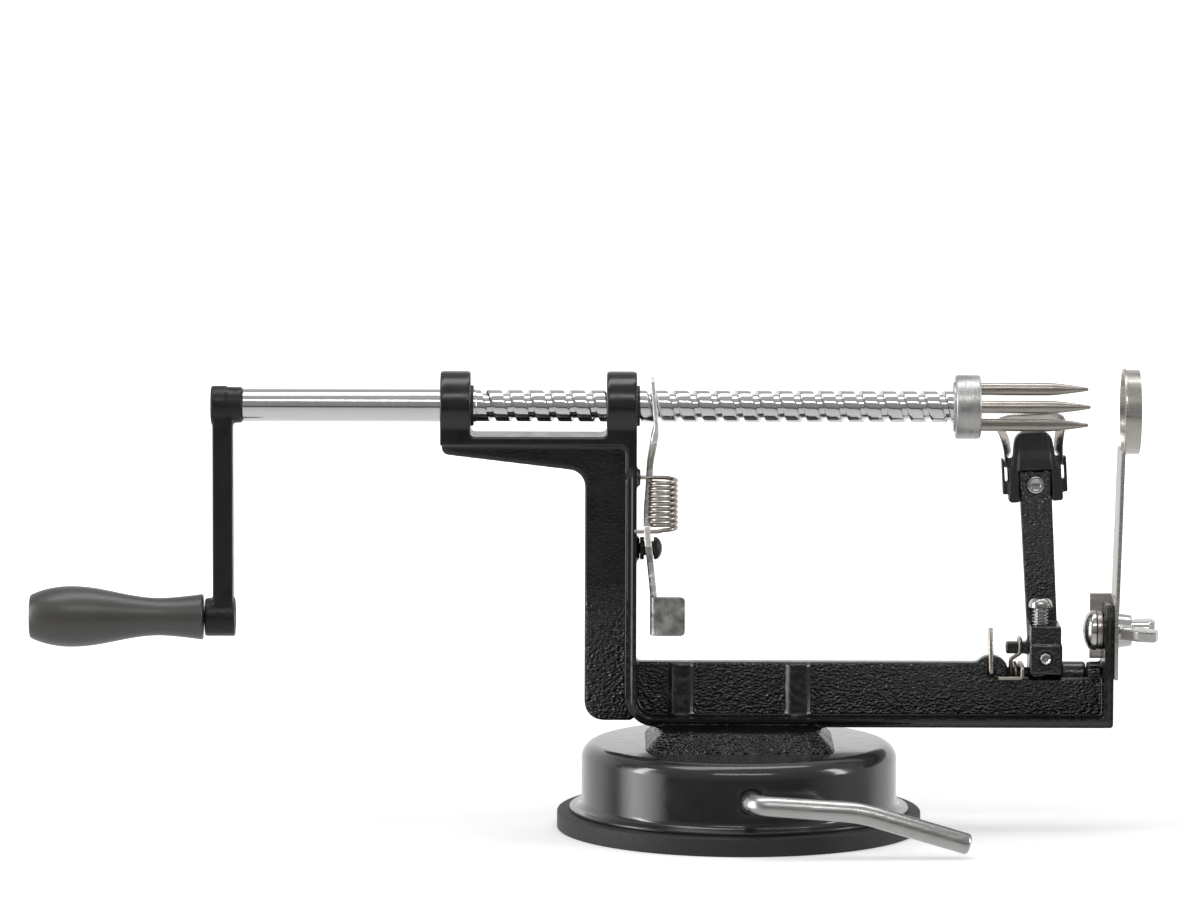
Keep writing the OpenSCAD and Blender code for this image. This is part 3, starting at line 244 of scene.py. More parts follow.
def merged(chunks):
    """Several surfaces as one list of points and one list of faces."""
    points, faces, count = [], [], 0
    for p, f in chunks:
        points.append(p)
        faces.extend((np.asarray(f) + count).tolist())
        count += len(p)
    return np.concatenate(points), faces


def shifted(chunk, offset):
    """The same surface moved by an offset."""
    return chunk[0] + np.asarray(offset, float), chunk[1]


# Meshes and pieces


def tidy_mesh(mesh):
    """Merges points that lie together, drops faces without area and turns all faces outwards."""
    gap = 2e-6
    bm = bmesh.new()
    bm.from_mesh(mesh)
    bmesh.ops.remove_doubles(bm, verts=bm.verts, dist=gap)
    bmesh.ops.dissolve_degenerate(bm, edges=bm.edges, dist=gap)
    bmesh.ops.recalc_face_normals(bm, faces=bm.faces)
    bm.to_mesh(mesh)
    bm.free()


def mesh_from(name, chunks):
    """Mesh in metres from surfaces in millimetres."""
    points, faces = merged(chunks)
    mesh = bpy.data.meshes.new(name)
    mesh.from_pydata((points * MM).tolist(), [], faces)
    tidy_mesh(mesh)
    return mesh


def evaluated(obj):
    """The mesh that an object's modifiers make, on its own."""
    bpy.context.view_layer.update()
    graph = bpy.context.evaluated_depsgraph_get()
    return bpy.data.meshes.new_from_object(obj.evaluated_get(graph))


def loose(name, data):
    """Object for a mesh, a lamp or a camera, linked to the scene."""
    obj = bpy.data.objects.new(name, data)
    bpy.context.scene.collection.objects.link(obj)
    return obj


def applied(obj):
    """Object's mesh replaced by what its modifiers make, with the modifiers taken off."""
    mesh = evaluated(obj)
    name = obj.name
    old = obj.data
    obj.modifiers.clear()
    obj.data = mesh
    bpy.data.meshes.remove(old)
    mesh.name = name
    return obj


def merged_copy(node):
    """Copy of a node's mesh with its loose triangles joined."""
    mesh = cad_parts[node].data.copy()
    mesh.materials.clear()
    for layer in [a.name for a in mesh.attributes if a.name.startswith("custom_normal")]:
        mesh.attributes.remove(mesh.attributes[layer])
    bm = bmesh.new()
    bm.from_mesh(mesh)
    bmesh.ops.remove_doubles(bm, verts=bm.verts, dist=1e-6)
    bm.to_mesh(mesh)
    bm.free()
    return mesh


def cast_copy(node, voxel, rounds):
    """Casting: the node's solid sampled at a voxel's pitch and smoothed, so that edges and inner corners
    are round."""
    obj = loose(node + "_cast", merged_copy(node))
    remesh = obj.modifiers.new("sample", "REMESH")
    remesh.mode = "VOXEL"
    remesh.voxel_size = voxel * MM
    smooth = obj.modifiers.new("soften", "SMOOTH")
    smooth.factor = 0.5
    smooth.iterations = rounds
    return applied(obj)


def eased_copy(node, width):
    """Stamped or turned piece: the node's solid with its flat faces joined and its edges rounded."""
    flat, sharp = math.radians(1), math.radians(28)
    obj = loose(node + "_eased", merged_copy(node))
    bm = bmesh.new()
    bm.from_mesh(obj.data)
    bmesh.ops.dissolve_limit(bm, angle_limit=flat, verts=bm.verts, edges=bm.edges)
    bm.to_mesh(obj.data)
    bm.free()
    bevel = obj.modifiers.new("ease", "BEVEL")
    bevel.width = width * MM
    bevel.segments = 2
    bevel.limit_method = "ANGLE"
    bevel.angle_limit = sharp
    return applied(obj)


def cut_away(obj, chunks):
    """Object less the solid that the surfaces bound."""
    tool = loose(obj.name + "_tool", mesh_from(obj.name + "_tool", chunks))
    cut = obj.modifiers.new("cut", "BOOLEAN")
    cut.operation = "DIFFERENCE"
    cut.solver = "EXACT"
    cut.object = tool
    applied(obj)
    bpy.data.objects.remove(tool)


def settle(obj, body, slot, node, crease=35, look=None):
    """Gives a piece its finish, shading and body, and hides the node that it stands for. A look of its own
    can take the place of its slot's, and two bodies with a start and an end bend the piece between them."""
    mesh = obj.data
    mesh.materials.clear()
    mesh.materials.append(finish(look or slot))
    mesh.polygons.foreach_set("use_smooth", np.ones(len(mesh.polygons), bool))
    mesh.set_sharp_from_angle(angle=math.radians(crease))
    if isinstance(body, str):
        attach(obj, body)
    else:
        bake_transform(obj, *body)
    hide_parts(node)


def piece(name, chunks, body, slot, node, crease=35):
    """New piece from surfaces in millimetres."""
    settle(loose(name, mesh_from(name, chunks)), body, slot, node, crease)


def dress(node, slot):
    """Gives a node that stays its finish."""
    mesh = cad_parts[node].data
    mesh.materials.clear()
    mesh.materials.append(finish(slot))


def lattice_noise(points, cell, seed):
    """Distance from each point to the nearest of the seeds, one seed in each cell of a lattice."""
    size, primes, far = 97, np.array([73, 31, 179]), 9.0
    jitter = np.random.default_rng(seed).random((size, 3))
    base = np.floor(points / cell)
    best = np.full(len(points), far)
    for shift in np.ndindex(3, 3, 3):
        corner = base + np.array(shift) - 1
        key = (corner @ primes).astype(int) % size
        seeds = corner + jitter[key]
        best = np.minimum(best, np.linalg.norm(points / cell - seeds, axis=1))
    return best


def reshape(obj, rule):
    """Moves every point to where a rule puts it, from all places and normals in millimetres."""
    mesh = obj.data
    co = np.empty(len(mesh.vertices) * 3, np.float32)
    no = np.empty_like(co)
    mesh.vertices.foreach_get("co", co)
    mesh.vertices.foreach_get("normal", no)
    p = rule(co.reshape(-1, 3).astype(float) / MM, no.reshape(-1, 3).astype(float))
    mesh.vertices.foreach_set("co", (p * MM).astype(np.float32).reshape(-1))
    mesh.update()


def hammer(cell, depth, share):
    """Hammered paint: every point sinks along its normal by depth * (1 - d^2)^2 for the distance d to
    the nearest dimple, times a share that says where the paint is hammered."""
    def rule(p, n):
        d = np.clip(lattice_noise(p, cell, DIMPLE_SEED), 0, 1)
        return p - n * (depth * share(p, n) * (1 - d * d) ** 2)[:, None]

    return rule


def step_up(value, start, end):
    """Smooth step 3t^2 - 2t^3 from 0 at start to 1 at end."""
    t = np.clip((value - start) / (end - start), 0, 1)
    return t * t * (3 - 2 * t)


# Finishes


def shader(name, color, metallic, roughness, **sockets):
    """Material with one principled shader; more sockets are set by their names."""
    mat = bpy.data.materials.new(name)
    mat.use_nodes = True
    tree = mat.node_tree
    bsdf = tree.nodes["Principled BSDF"]
    bsdf.inputs["Base Color"].default_value = (*color, 1)
    bsdf.inputs["Metallic"].default_value = metallic
    bsdf.inputs["Roughness"].default_value = roughness
    for key, value in sockets.items():
        bsdf.inputs[key.replace("_", " ")].default_value = value
    return mat, tree, bsdf


def spot(tree, scale=(1, 1, 1)):
    """Object coordinates, stretched."""
    place = tree.nodes.new("ShaderNodeTexCoord")
    stretch = tree.nodes.new("ShaderNodeMapping")
    stretch.inputs["Scale"].default_value = scale
    tree.links.new(place.outputs["Object"], stretch.inputs["Vector"])
    return stretch.outputs["Vector"]


def grain(tree, where, scale, detail=4.0):
    """Cloudy noise from 0 to 1."""
    node = tree.nodes.new("ShaderNodeTexNoise")
    node.inputs["Scale"].default_value = scale
    node.inputs["Detail"].default_value = detail
    tree.links.new(where, node.inputs["Vector"])
    return node.outputs["Fac"]


def dimples(tree, where, scale):
    """Soft cells from 0 to 1."""
    node = tree.nodes.new("ShaderNodeTexVoronoi")
    node.feature = "SMOOTH_F1"
    node.inputs["Scale"].default_value = scale
    node.inputs["Smoothness"].default_value = 0.6
    tree.links.new(where, node.inputs["Vector"])
    return node.outputs["Distance"]


def spread(tree, value, low, high, start=0.3, end=0.7):
    """Value stretched from start..end to low..high."""
    node = tree.nodes.new("ShaderNodeMapRange")
    node.inputs["From Min"].default_value = start
    node.inputs["From Max"].default_value = end
    node.inputs["To Min"].default_value = low
    node.inputs["To Max"].default_value = high
    tree.links.new(value, node.inputs["Value"])
    return node.outputs["Result"]


def calc(tree, kind, *values):
    """One step of arithmetic on numbers and sockets."""
    node = tree.nodes.new("ShaderNodeMath")
    node.operation = kind
    for socket, value in zip(node.inputs, values):
        if isinstance(value, float):
            socket.default_value = value
        else:
            tree.links.new(value, socket)
    return node.outputs[0]


def table(tree, value, stops):
    """Levels between 0 and 1 read from a table over -1 to 1, with straight lines between its stops."""
    node = tree.nodes.new("ShaderNodeValToRGB")
    ramp = node.color_ramp.elements
    while len(ramp) < len(stops):
        ramp.new(0.5)
    for element, (place, level) in zip(ramp, stops):
        element.position = 0.5 + 0.5 * place
        element.color = (level, level, level, 1)
    tree.links.new(spread(tree, value, 0.0, 1.0, -1.0, 1.0), node.inputs["Fac"])
    return node.outputs["Color"]


def tint(tree, value, low, high):
    """Colour between two colours."""
    node = tree.nodes.new("ShaderNodeMix")
    node.data_type = "RGBA"
    node.inputs["A"].default_value = (*low, 1)
    node.inputs["B"].default_value = (*high, 1)
    tree.links.new(value, node.inputs["Factor"])
    return node.outputs["Result"]


def relief(tree, height, strength, distance):
    """Bump from a height."""
    node = tree.nodes.new("ShaderNodeBump")
    node.inputs["Strength"].default_value = strength
    node.inputs["Distance"].default_value = distance
    tree.links.new(height, node.inputs["Height"])
    return node.outputs["Normal"]


def drive(tree, bsdf, color, rough, normal):
    """Joins what varies over the surface to the shader."""
    for key, value in (("Base Color", color), ("Roughness", rough), ("Normal", normal)):
        tree.links.new(value, bsdf.inputs[key])


def axes(tree, vector):
    """The three numbers of a vector."""
    split = tree.nodes.new("ShaderNodeSeparateXYZ")
    tree.links.new(vector, split.inputs[0])
    return tuple(split.outputs[key] for key in "XYZ")


def times(color, share):
    """Colour with its three numbers multiplied."""
    return tuple(share * c for c in color)


# Zones of the finishes, with places in metres


def facing(tree):
    """1 on faces that look to the front or back, 0 on all others, rims and rounds too."""
    rounded, flat = 0.8, 0.95
    node = tree.nodes.new("ShaderNodeTexCoord")
    _, y, _ = axes(tree, node.outputs["Normal"])
    return spread(tree, calc(tree, "ABSOLUTE", y), 0.0, 1.0, rounded, flat)


def casting_zone(tree, where):
    """Where the casting is hammered: the web's lower faces, and the pedestal's slopes under them."""
    _, y, z = axes(tree, where)
    web_y, strip_y, plain_z, hammered_z, slope_z, rail_z = 0.0028, 0.0034, 0.068, 0.048, 0.0281, 0.0286
    web = spread(tree, calc(tree, "ABSOLUTE", y), 1.0, 0.0, web_y, strip_y)
    low = spread(tree, z, 0.05, 1.0, plain_z, hammered_z)
    slope = spread(tree, z, 2.6, 0.0, slope_z, rail_z)
    face = calc(tree, "MULTIPLY", facing(tree), calc(tree, "MULTIPLY", web, low))
    return calc(tree, "MAXIMUM", face, slope)


def bar_zone(tree, where):
    """Where the arm is hammered: the faces of its bar, above the block."""
    _, _, z = axes(tree, where)
    block_z, bar_z = 0.056, 0.066
    return calc(tree, "MULTIPLY", facing(tree), spread(tree, z, 0.15, 1.0, block_z, bar_z))


def tab_zone(tree, where):
    """Where the release plate keeps its full colour: above its thumb tab. Below it, the plate is darker."""
    _, _, z = axes(tree, where)
    tab_z, clean_z = 0.0675, 0.071
    return spread(tree, z, 0.0, 0.95, tab_z, clean_z)


# Kinds of finish


def enamel(name, color, rough, gloss, cell, depth, coat=0.0, zone=None):
    """Black enamel: cloudy gloss, and orange peel in its relief, or dimples in the zone that is hammered."""
    mat, tree, bsdf = shader(name, color, 0.0, rough, Coat_Weight=coat, Coat_Roughness=0.06,
                             Specular_IOR_Level=gloss)
    clouds, mottles, flat_cells, peak = 220.0, 90.0, (1.0, 1.0, 1.5), 0.0009
    where = spot(tree)
    cloudy = spread(tree, grain(tree, where, clouds, 6.0), rough * 0.75, rough * 1.3)
    shade = tint(tree, grain(tree, where, mottles), color, times(color, 1.7))
    height = dimples(tree, spot(tree, flat_cells), cell)
    if zone:
        height = calc(tree, "MULTIPLY", height, zone(tree, where))
    drive(tree, bsdf, shade, cloudy, relief(tree, height, depth, peak))
    return mat


def metal(name, color, rough, stretch, scale, mark, worn, zone=None):
    """Metal with the marks of its working drawn out along one direction, and a cloud of wear. Inside a zone
    the colour is nearly full; outside it the cloud is finer and cut to a share, so the colour is darker."""
    mat, tree, bsdf = shader(name, color, 1.0, rough)
    clouds, fine_clouds, outside_share, peak, detail = 140.0, 320.0, 0.55, 0.00012, 5.0
    where = spot(tree)
    lines = grain(tree, spot(tree, stretch), scale, detail)
    cloud = spread(tree, grain(tree, where, fine_clouds if zone else clouds, detail), 0.0, 1.0)
    if zone:
        # Outside the zone the cloud is cut to a share, so the colour there is darker
        cloud = calc(tree, "MAXIMUM", calc(tree, "MULTIPLY", cloud, outside_share), zone(tree, where))
    shade = tint(tree, cloud, times(color, worn), color)
    marked = spread(tree, lines, rough * 0.7, rough * 1.5)
    drive(tree, bsdf, shade, marked, relief(tree, lines, mark, peak))
    return mat


def moulded(name, color, rough, scale, depth, gloss=0.5):
    """Moulded plastic or rubber with a fine even grain."""
    mat, tree, bsdf = shader(name, color, 0.0, rough, Specular_IOR_Level=gloss)
    mottles, peak = 120.0, 0.0002
    where = spot(tree)
    fine = grain(tree, where, scale, 3.0)
    shade = tint(tree, grain(tree, where, mottles), color, times(color, 1.35))
    even = spread(tree, fine, rough * 0.88, rough * 1.12)
    drive(tree, bsdf, shade, even, relief(tree, fine, depth, peak))
    return mat


def finish(slot):
    """Material of a record slot, made once."""
    name = slot + "_finish"
    if name in bpy.data.materials:
        return bpy.data.materials[name]
    f = bpy.context.scene.peeler_finish
    black, rubber = tuple(f.enamel_color), (0.016, 0.016, 0.017)
    make = {
        "hammered_enamel": lambda n: enamel(
            n, black, rough=0.22, gloss=0.65, cell=1000.0, depth=f.hammer_relief, zone=casting_zone),
        "hammered_arm": lambda n: enamel(
            n, black, rough=0.22, gloss=0.85, cell=950.0, depth=f.hammer_relief, zone=bar_zone),
        "gloss_enamel": lambda n: enamel(
            n, times(black, 4), rough=0.16, gloss=0.55, cell=420.0, depth=0.02, coat=0.4),
        "crank_enamel": lambda n: enamel(
            n, times(black, 1.5), rough=0.36, gloss=0.4, cell=700.0, depth=0.06),
        "bush_black": lambda n: moulded(
            n, (0.012, 0.012, 0.012), rough=0.5, scale=1800.0, depth=0.1),
        "holder_black": lambda n: moulded(
            n, rubber, rough=0.4, scale=1500.0, depth=0.15),
        "grip_plastic": lambda n: moulded(
            n, tuple(f.grip_color), rough=0.36, scale=2600.0, depth=0.2, gloss=0.8),
        "pad_rubber": lambda n: moulded(
            n, rubber, rough=0.6, scale=1600.0, depth=0.25),
        "polished_steel": lambda n: metal(
            n, (0.76, 0.76, 0.77), rough=f.chrome_roughness, stretch=(900, 40, 40), scale=1.0, mark=0.02,
            worn=0.94),
        "dark_steel": lambda n: metal(
            n, (0.05, 0.05, 0.052), rough=0.4, stretch=(300, 300, 300), scale=3.0, mark=0.1, worn=0.8),
        "hub_metal": lambda n: metal(
            n, (0.6, 0.6, 0.59), rough=0.34, stretch=(2200, 260, 260), scale=2.0, mark=0.9, worn=0.7),
        "stainless": lambda n: metal(
            n, (0.46, 0.425, 0.39), rough=0.27, stretch=(60, 900, 900), scale=2.0, mark=0.1, worn=0.85),
        "corer_steel": lambda n: metal(
            n, (0.58, 0.55, 0.515), rough=0.28, stretch=(60, 900, 900), scale=2.0, mark=0.1, worn=0.8),
        "nickel_plate": lambda n: metal(
            n, (0.95, 0.93, 0.89), rough=0.4, stretch=(1300, 1300, 420), scale=2.0, mark=0.5, worn=0.2,
            zone=tab_zone),
        "spring_wire": lambda n: metal(
            n, (0.47, 0.43, 0.38), rough=0.28, stretch=(400, 400, 400), scale=2.0, mark=0.1, worn=0.75),
        "zinc_screw": lambda n: metal(
            n, (0.62, 0.62, 0.6), rough=0.18, stretch=(500, 500, 500), scale=2.0, mark=0.12, worn=0.85),
        "lever_steel": lambda n: metal(
            n, (0.52, 0.515, 0.505), rough=0.27, stretch=(40, 900, 900), scale=2.0, mark=0.1, worn=0.9),
    }
    return make[slot](name)


# Settings


class PeelerShapes(bpy.types.PropertyGroup):
    """Sizes of the finished surfaces."""

    cast_voxel: bpy.props.FloatProperty(
        name="Casting pitch", description="Sampling pitch of the frame casting in millimetres",
        default=0.5, min=0.4, max=1.2)
    cast_rounds: bpy.props.IntProperty(
        name="Casting softness", description="Smoothing rounds on the castings' edges",
        default=4, min=0, max=20)
    hammer_cell: bpy.props.FloatProperty(
        name="Dimple size", description="Pitch of the hammered dimples in millimetres",
        default=1.6, min=1.0, max=5.0)
    hammer_depth: bpy.props.FloatProperty(
        name="Dimple depth", description="Depth of the hammered dimples in millimetres",
        default=0.12, min=0.0, max=0.4)
    turn_sides: bpy.props.IntProperty(
        name="Turned sides", description="Sides of a turned surface",
        default=96, min=24, max=256)


class PeelerFinish(bpy.types.PropertyGroup):
    """Colours and gloss of the finishes."""

    enamel_color: bpy.props.FloatVectorProperty(
        name="Enamel", description="Colour of the black enamel",
        subtype="COLOR", size=3, default=(0.004, 0.004, 0.0043), min=0, max=1)
    grip_color: bpy.props.FloatVectorProperty(
        name="Grip", description="Colour of the grip's plastic",
        subtype="COLOR", size=3, default=(0.043, 0.041, 0.0385), min=0, max=1)
    chrome_roughness: bpy.props.FloatProperty(
        name="Screw roughness", description="Roughness of the polished screw",
        default=0.09, min=0.01, max=0.5)
    hammer_relief: bpy.props.FloatProperty(
        name="Enamel relief", description="Strength of the fine relief in the hammered enamel",
        default=0.85, min=0, max=1)


class PeelerStage(bpy.types.PropertyGroup):
    """Floor, lamps and camera."""

    floor_color: bpy.props.FloatVectorProperty(
        name="Floor", description="Colour of the floor",
        subtype="COLOR", size=3, default=(0.92, 0.92, 0.92), min=0, max=1)
    floor_glow: bpy.props.FloatProperty(
        name="Floor glow", description="Glow of the floor at the object, seen by the camera only",
        default=0.3, min=0, max=1)
    top_power: bpy.props.FloatProperty(
        name="Top lamp", description="Power of the lamp overhead",
        default=8.0, min=0, unit="POWER")
    side_power: bpy.props.FloatProperty(
        name="Side lamps", description="Power of each side lamp",
        default=7.0, min=0, unit="POWER")
    front_power: bpy.props.FloatProperty(
        name="Front lamp", description="Power of the lamp in front, over the camera",
        default=3.2, min=0, unit="POWER")
    camera_distance: bpy.props.FloatProperty(
        name="Camera distance", description="Distance from the camera to the object",
        default=1.892, min=0.5, unit="LENGTH")
    camera_pitch: bpy.props.FloatProperty(
        name="Camera pitch", description="How far the camera looks down",
        default=math.radians(6.4), subtype="ANGLE")


# Operators


class PEELER_OT_frame(bpy.types.Operator):
    """Frame casting with its hammered enamel, and the two bushes"""

    bl_idname = "peeler.frame"
    bl_label = "Frame casting"
    bl_options = {"REGISTER"}

    def execute(self, context):
        shapes = context.scene.peeler_shapes
        obj = cast_copy("frame_casting", shapes.cast_voxel, shapes.cast_rounds)
        reshape(obj, self.ledge)
        reshape(obj, hammer(shapes.hammer_cell, shapes.hammer_depth, self.hammered))
        obj.name = "casting"
        settle(obj, "body", "hammered_enamel", "frame_casting", crease=60)
        for side in ("left", "right"):
            self.bush(side, shapes.turn_sides)
        return {"FINISHED"}

    def ledge(self, p, n):
        """Flange in two levels: outside its middle line, which is an open box with one round corner, it lies
        lower. A point's depth beyond the web shrinks there by a share of itself."""
        web, strip, strip_half, corner_r = 2.4, 2.6, 8.4, 6.3
        column_face, rail_low, lug_low, pedestal_half = -28.0, 28.4, 99.0, 26.0
        edge, fade, lowered = 0.45, 3.0, 0.14
        x, y, z = p.T
        column, rail = column_face - strip / 2, rail_low + strip / 2
        upright = box_mm("frame_casting")[1][0] - strip / 2
        dx, dz = column + corner_r - x, rail + corner_r - z
        d = np.where((dx > 0) & (dz > 0), np.hypot(dx, dz), np.maximum(dx, dz)) - corner_r
        d = np.maximum(d, x - upright)
        pedestal = (np.abs(x) < pedestal_half) & (z < rail - strip / 2)
        share = step_up(d, -edge, edge) * step_up(lug_low - z, 0, fade)
        share *= (np.abs(y) < strip_half) & ~pedestal
        proud = np.maximum(np.abs(y) - web, 0)
        return np.stack([x, y - np.sign(y) * lowered * share * proud, z], 1)

    def hammered(self, p, n):
        """Share of the dimples' depth: full on low faces to the front and back, and next to none above."""
        turned_off, flat, plain_z, fade, least = 0.75, 0.2, 66.0, 18.0, 0.05
        facing_out = np.clip((np.abs(n[:, 1]) - turned_off) / flat, 0, 1)
        return facing_out * np.clip((plain_z - p[:, 2]) / fade, least, 1)

    def bush(self, side, sides):
        """Plain sleeve in one of the lugs."""
        low, high = box_mm("bush_" + side)
        r, bore, length = (high[2] - low[2]) / 2, ROD_R + 0.2, high[0] - low[0]
        profile = eased([(0, bore, 0), (0, r, 0.2), (length, r, 0.3), (length, bore, 0.2), (0, bore, 0)], 3)
        piece("bush_ring_" + side, [turned(profile, (low[0], 0, AXIS_Z), sides=sides)],
              "bushes", "bush_black", "bush_" + side)


class PEELER_OT_screw(bpy.types.Operator):
    """Polished rod with its feed thread"""

    bl_idname = "peeler.screw"
    bl_label = "Feed screw"
    bl_options = {"REGISTER"}

    def execute(self, context):
        shapes = context.scene.peeler_shapes
        spigot_r, spigot_l, chamfer = 3.0, 8.2, 0.3
        crest, depth, lead, groove, fade = 4.3, 1.0, 5.6, (0.65, 0.95), 2.0
        thread_x0, thread_x1, first_groove = -71.5, HUB_LOW[0], -68.0
        left, right = SCREW_LOW[0], SCREW_HIGH[0]
        face, step, socket = left + spigot_l, thread_x0 + 0.4, thread_x1 - 1
        rod = eased([(left, 0, 0), (left, spigot_r, chamfer), (face, spigot_r, 0), (face, ROD_R, chamfer),
                     (thread_x0, ROD_R, 0.4), (step, crest - 0.2, 0), (step, 0, 0)])
        end = eased([(socket, 0, 0), (socket, spigot_r, 0), (right, spigot_r, chamfer), (right, 0, 0)])
        thread = threaded(thread_x0 + 0.2, thread_x1, crest, crest - depth, lead, groove, first_groove, fade)
        place = (0, 0, AXIS_Z)
        chunks = [turned(rod, place, sides=shapes.turn_sides), shifted(thread, place),
                  turned(end, place, sides=shapes.turn_sides)]
        piece("feed_screw", chunks, "spindle", "polished_steel", "drive_screw", crease=30)
        return {"FINISHED"}


class PEELER_OT_crank(bpy.types.Operator):
    """Cast crank arm, its pin and the waisted grip"""

    bl_idname = "peeler.crank"
    bl_label = "Crank and grip"
    bl_options = {"REGISTER"}

    def execute(self, context):
        shapes = context.scene.peeler_shapes
        obj = cast_copy("crank_arm", voxel=0.4, rounds=6)
        reshape(obj, self.shoulder)
        obj.name = "crank"
        settle(obj, "spindle", "crank_enamel", "crank_arm", crease=60)
        self.pin()
        self.grip(shapes.turn_sides)
        return {"FINISHED"}

    def shoulder(self, p, n):
        """Upper boss in two thicknesses: its inner half, towards the screw, is a little thinner."""
        step_x, edge, inner_r, outer_r, thinner = SCREW_LOW[0] + 3.9, 0.3, 4.2, 5.5, 0.32
        x, y, z = p[:, 0], p[:, 1], p[:, 2] - AXIS_Z
        r = np.hypot(y, z)
        share = step_up(x, step_x - edge, step_x + edge)
        share *= step_up(r, inner_r, inner_r + 0.6) * step_up(outer_r - r, 0, 0.2)
        shrink = 1 - thinner * share / np.maximum(r, 1)
        return np.stack([x, y * shrink, AXIS_Z + z * shrink], 1)

    def pin(self):
        """Pin through the grip, which ends inside the crank's boss."""
        low, high = box_mm("handle_pin")
        r, start, end = 1.9, low[0], high[0] - 0.9
        profile = eased([(start, 0, 0), (start, r, 0.4), (end, r, 0.3), (end, 0, 0)])
        piece("pin", [turned(profile, (0, 0, GRIP_Z), sides=48)], "spindle", "dark_steel", "handle_pin")

    def grip(self, sides):
        """Grip: its radius is an ellipse up to the fattest place, half a cosine from there to the waist, and
        from the waist it flares to the collar by the power of 1.5."""
        length = GRIP_HIGH[0] - GRIP_LOW[0]
        fat, waist, collar = (GRIP_HIGH[2] - GRIP_LOW[2]) / 2, 5.1, 6.25
        fat_s, waist_s, round_s, flare_power = 0.24, 0.75, 0.335, 1.5
        bore, bore_end, dent_r, dent = 2.8, 6.0, 1.2, 0.8
        s = np.linspace(0, 1, 72)
        nose = fat * np.sqrt(np.clip(1 - ((fat_s - s) / round_s) ** 2, 0, 1))
        body = (fat + waist) / 2 + (fat - waist) / 2 * np.cos(np.pi * (s - fat_s) / (waist_s - fat_s))
        flare = waist + (collar - waist) * np.clip((s - waist_s) / (1 - waist_s), 0, 1) ** flare_power
        r = np.where(s < fat_s, nose, np.where(s < waist_s, body, flare))
        x = length * s
        front = eased([(dent, 0, 0), (0, dent_r, 0.6), (0, r[0] - 0.05, 0.5), (x[1], r[1], 0)])
        end = eased([(x[-2], r[-2], 0), (length, collar, 0.5), (length, bore, 0.2), (bore_end, bore, 0),
                     (bore_end, 0, 0)])
        profile = np.concatenate([front, np.stack([x, r], 1)[2:-2], end])
        piece("grip", [turned(profile, (GRIP_LOW[0], 0, GRIP_Z), sides=sides)],
              "grip", "grip_plastic", "handle_grip", crease=50)


class PEELER_OT_fork(bpy.types.Operator):
    """Fork hub and its three prongs"""

    bl_idname = "peeler.fork"
    bl_label = "Fork"
    bl_options = {"REGISTER"}

    def execute(self, context):
        shapes = context.scene.peeler_shapes
        self.hub(shapes.turn_sides)
        self.prongs()
        return {"FINISHED"}

    def hub(self, sides):
        """Round hub with a low step on the screw's side."""
        r, length = (HUB_HIGH[2] - HUB_LOW[2]) / 2, HUB_HIGH[0] - HUB_LOW[0]
        step, step_r, edge = 0.5, 6.75, 0.6
        profile = eased([(0, 0, 0), (0, step_r, 0.2), (step, step_r, 0), (step, r, edge), (length, r, edge),
                         (length, 0, 0)])
        piece("hub", [turned(profile, (HUB_LOW[0], 0, AXIS_Z), sides=sides)],
              "spindle", "hub_metal", "fork_hub")

    def prongs(self):
        """Three prongs on a circle: each is straight, then its radius falls by a power of the way to its
        point."""
        r, tip_r, point, power, ring_r = 1.75, 0.5, 10.8, 1.35, 5.6
        length = PRONG_HIGH[0] - PRONG_LOW[0]
        u = np.linspace(0, 1, 14)
        taper = np.stack([length - point + (point - 0.45) * u, r - (r - tip_r) * u ** power], 1)
        straight = [(0, 0), (0, r), (length - point - 2, r)]
        tip = [(length - 0.12, 0.34), (length, 0)]
        profile = np.concatenate([straight, taper, tip])
        chunks = []
        for turn in np.radians([174, 294, 54]):
            centre = (PRONG_LOW[0], ring_r * math.cos(turn), AXIS_Z + ring_r * math.sin(turn))
            chunks.append(turned(profile, centre, sides=40))
        piece("prongs", chunks, "spindle", "stainless", "fork_prongs", crease=40)


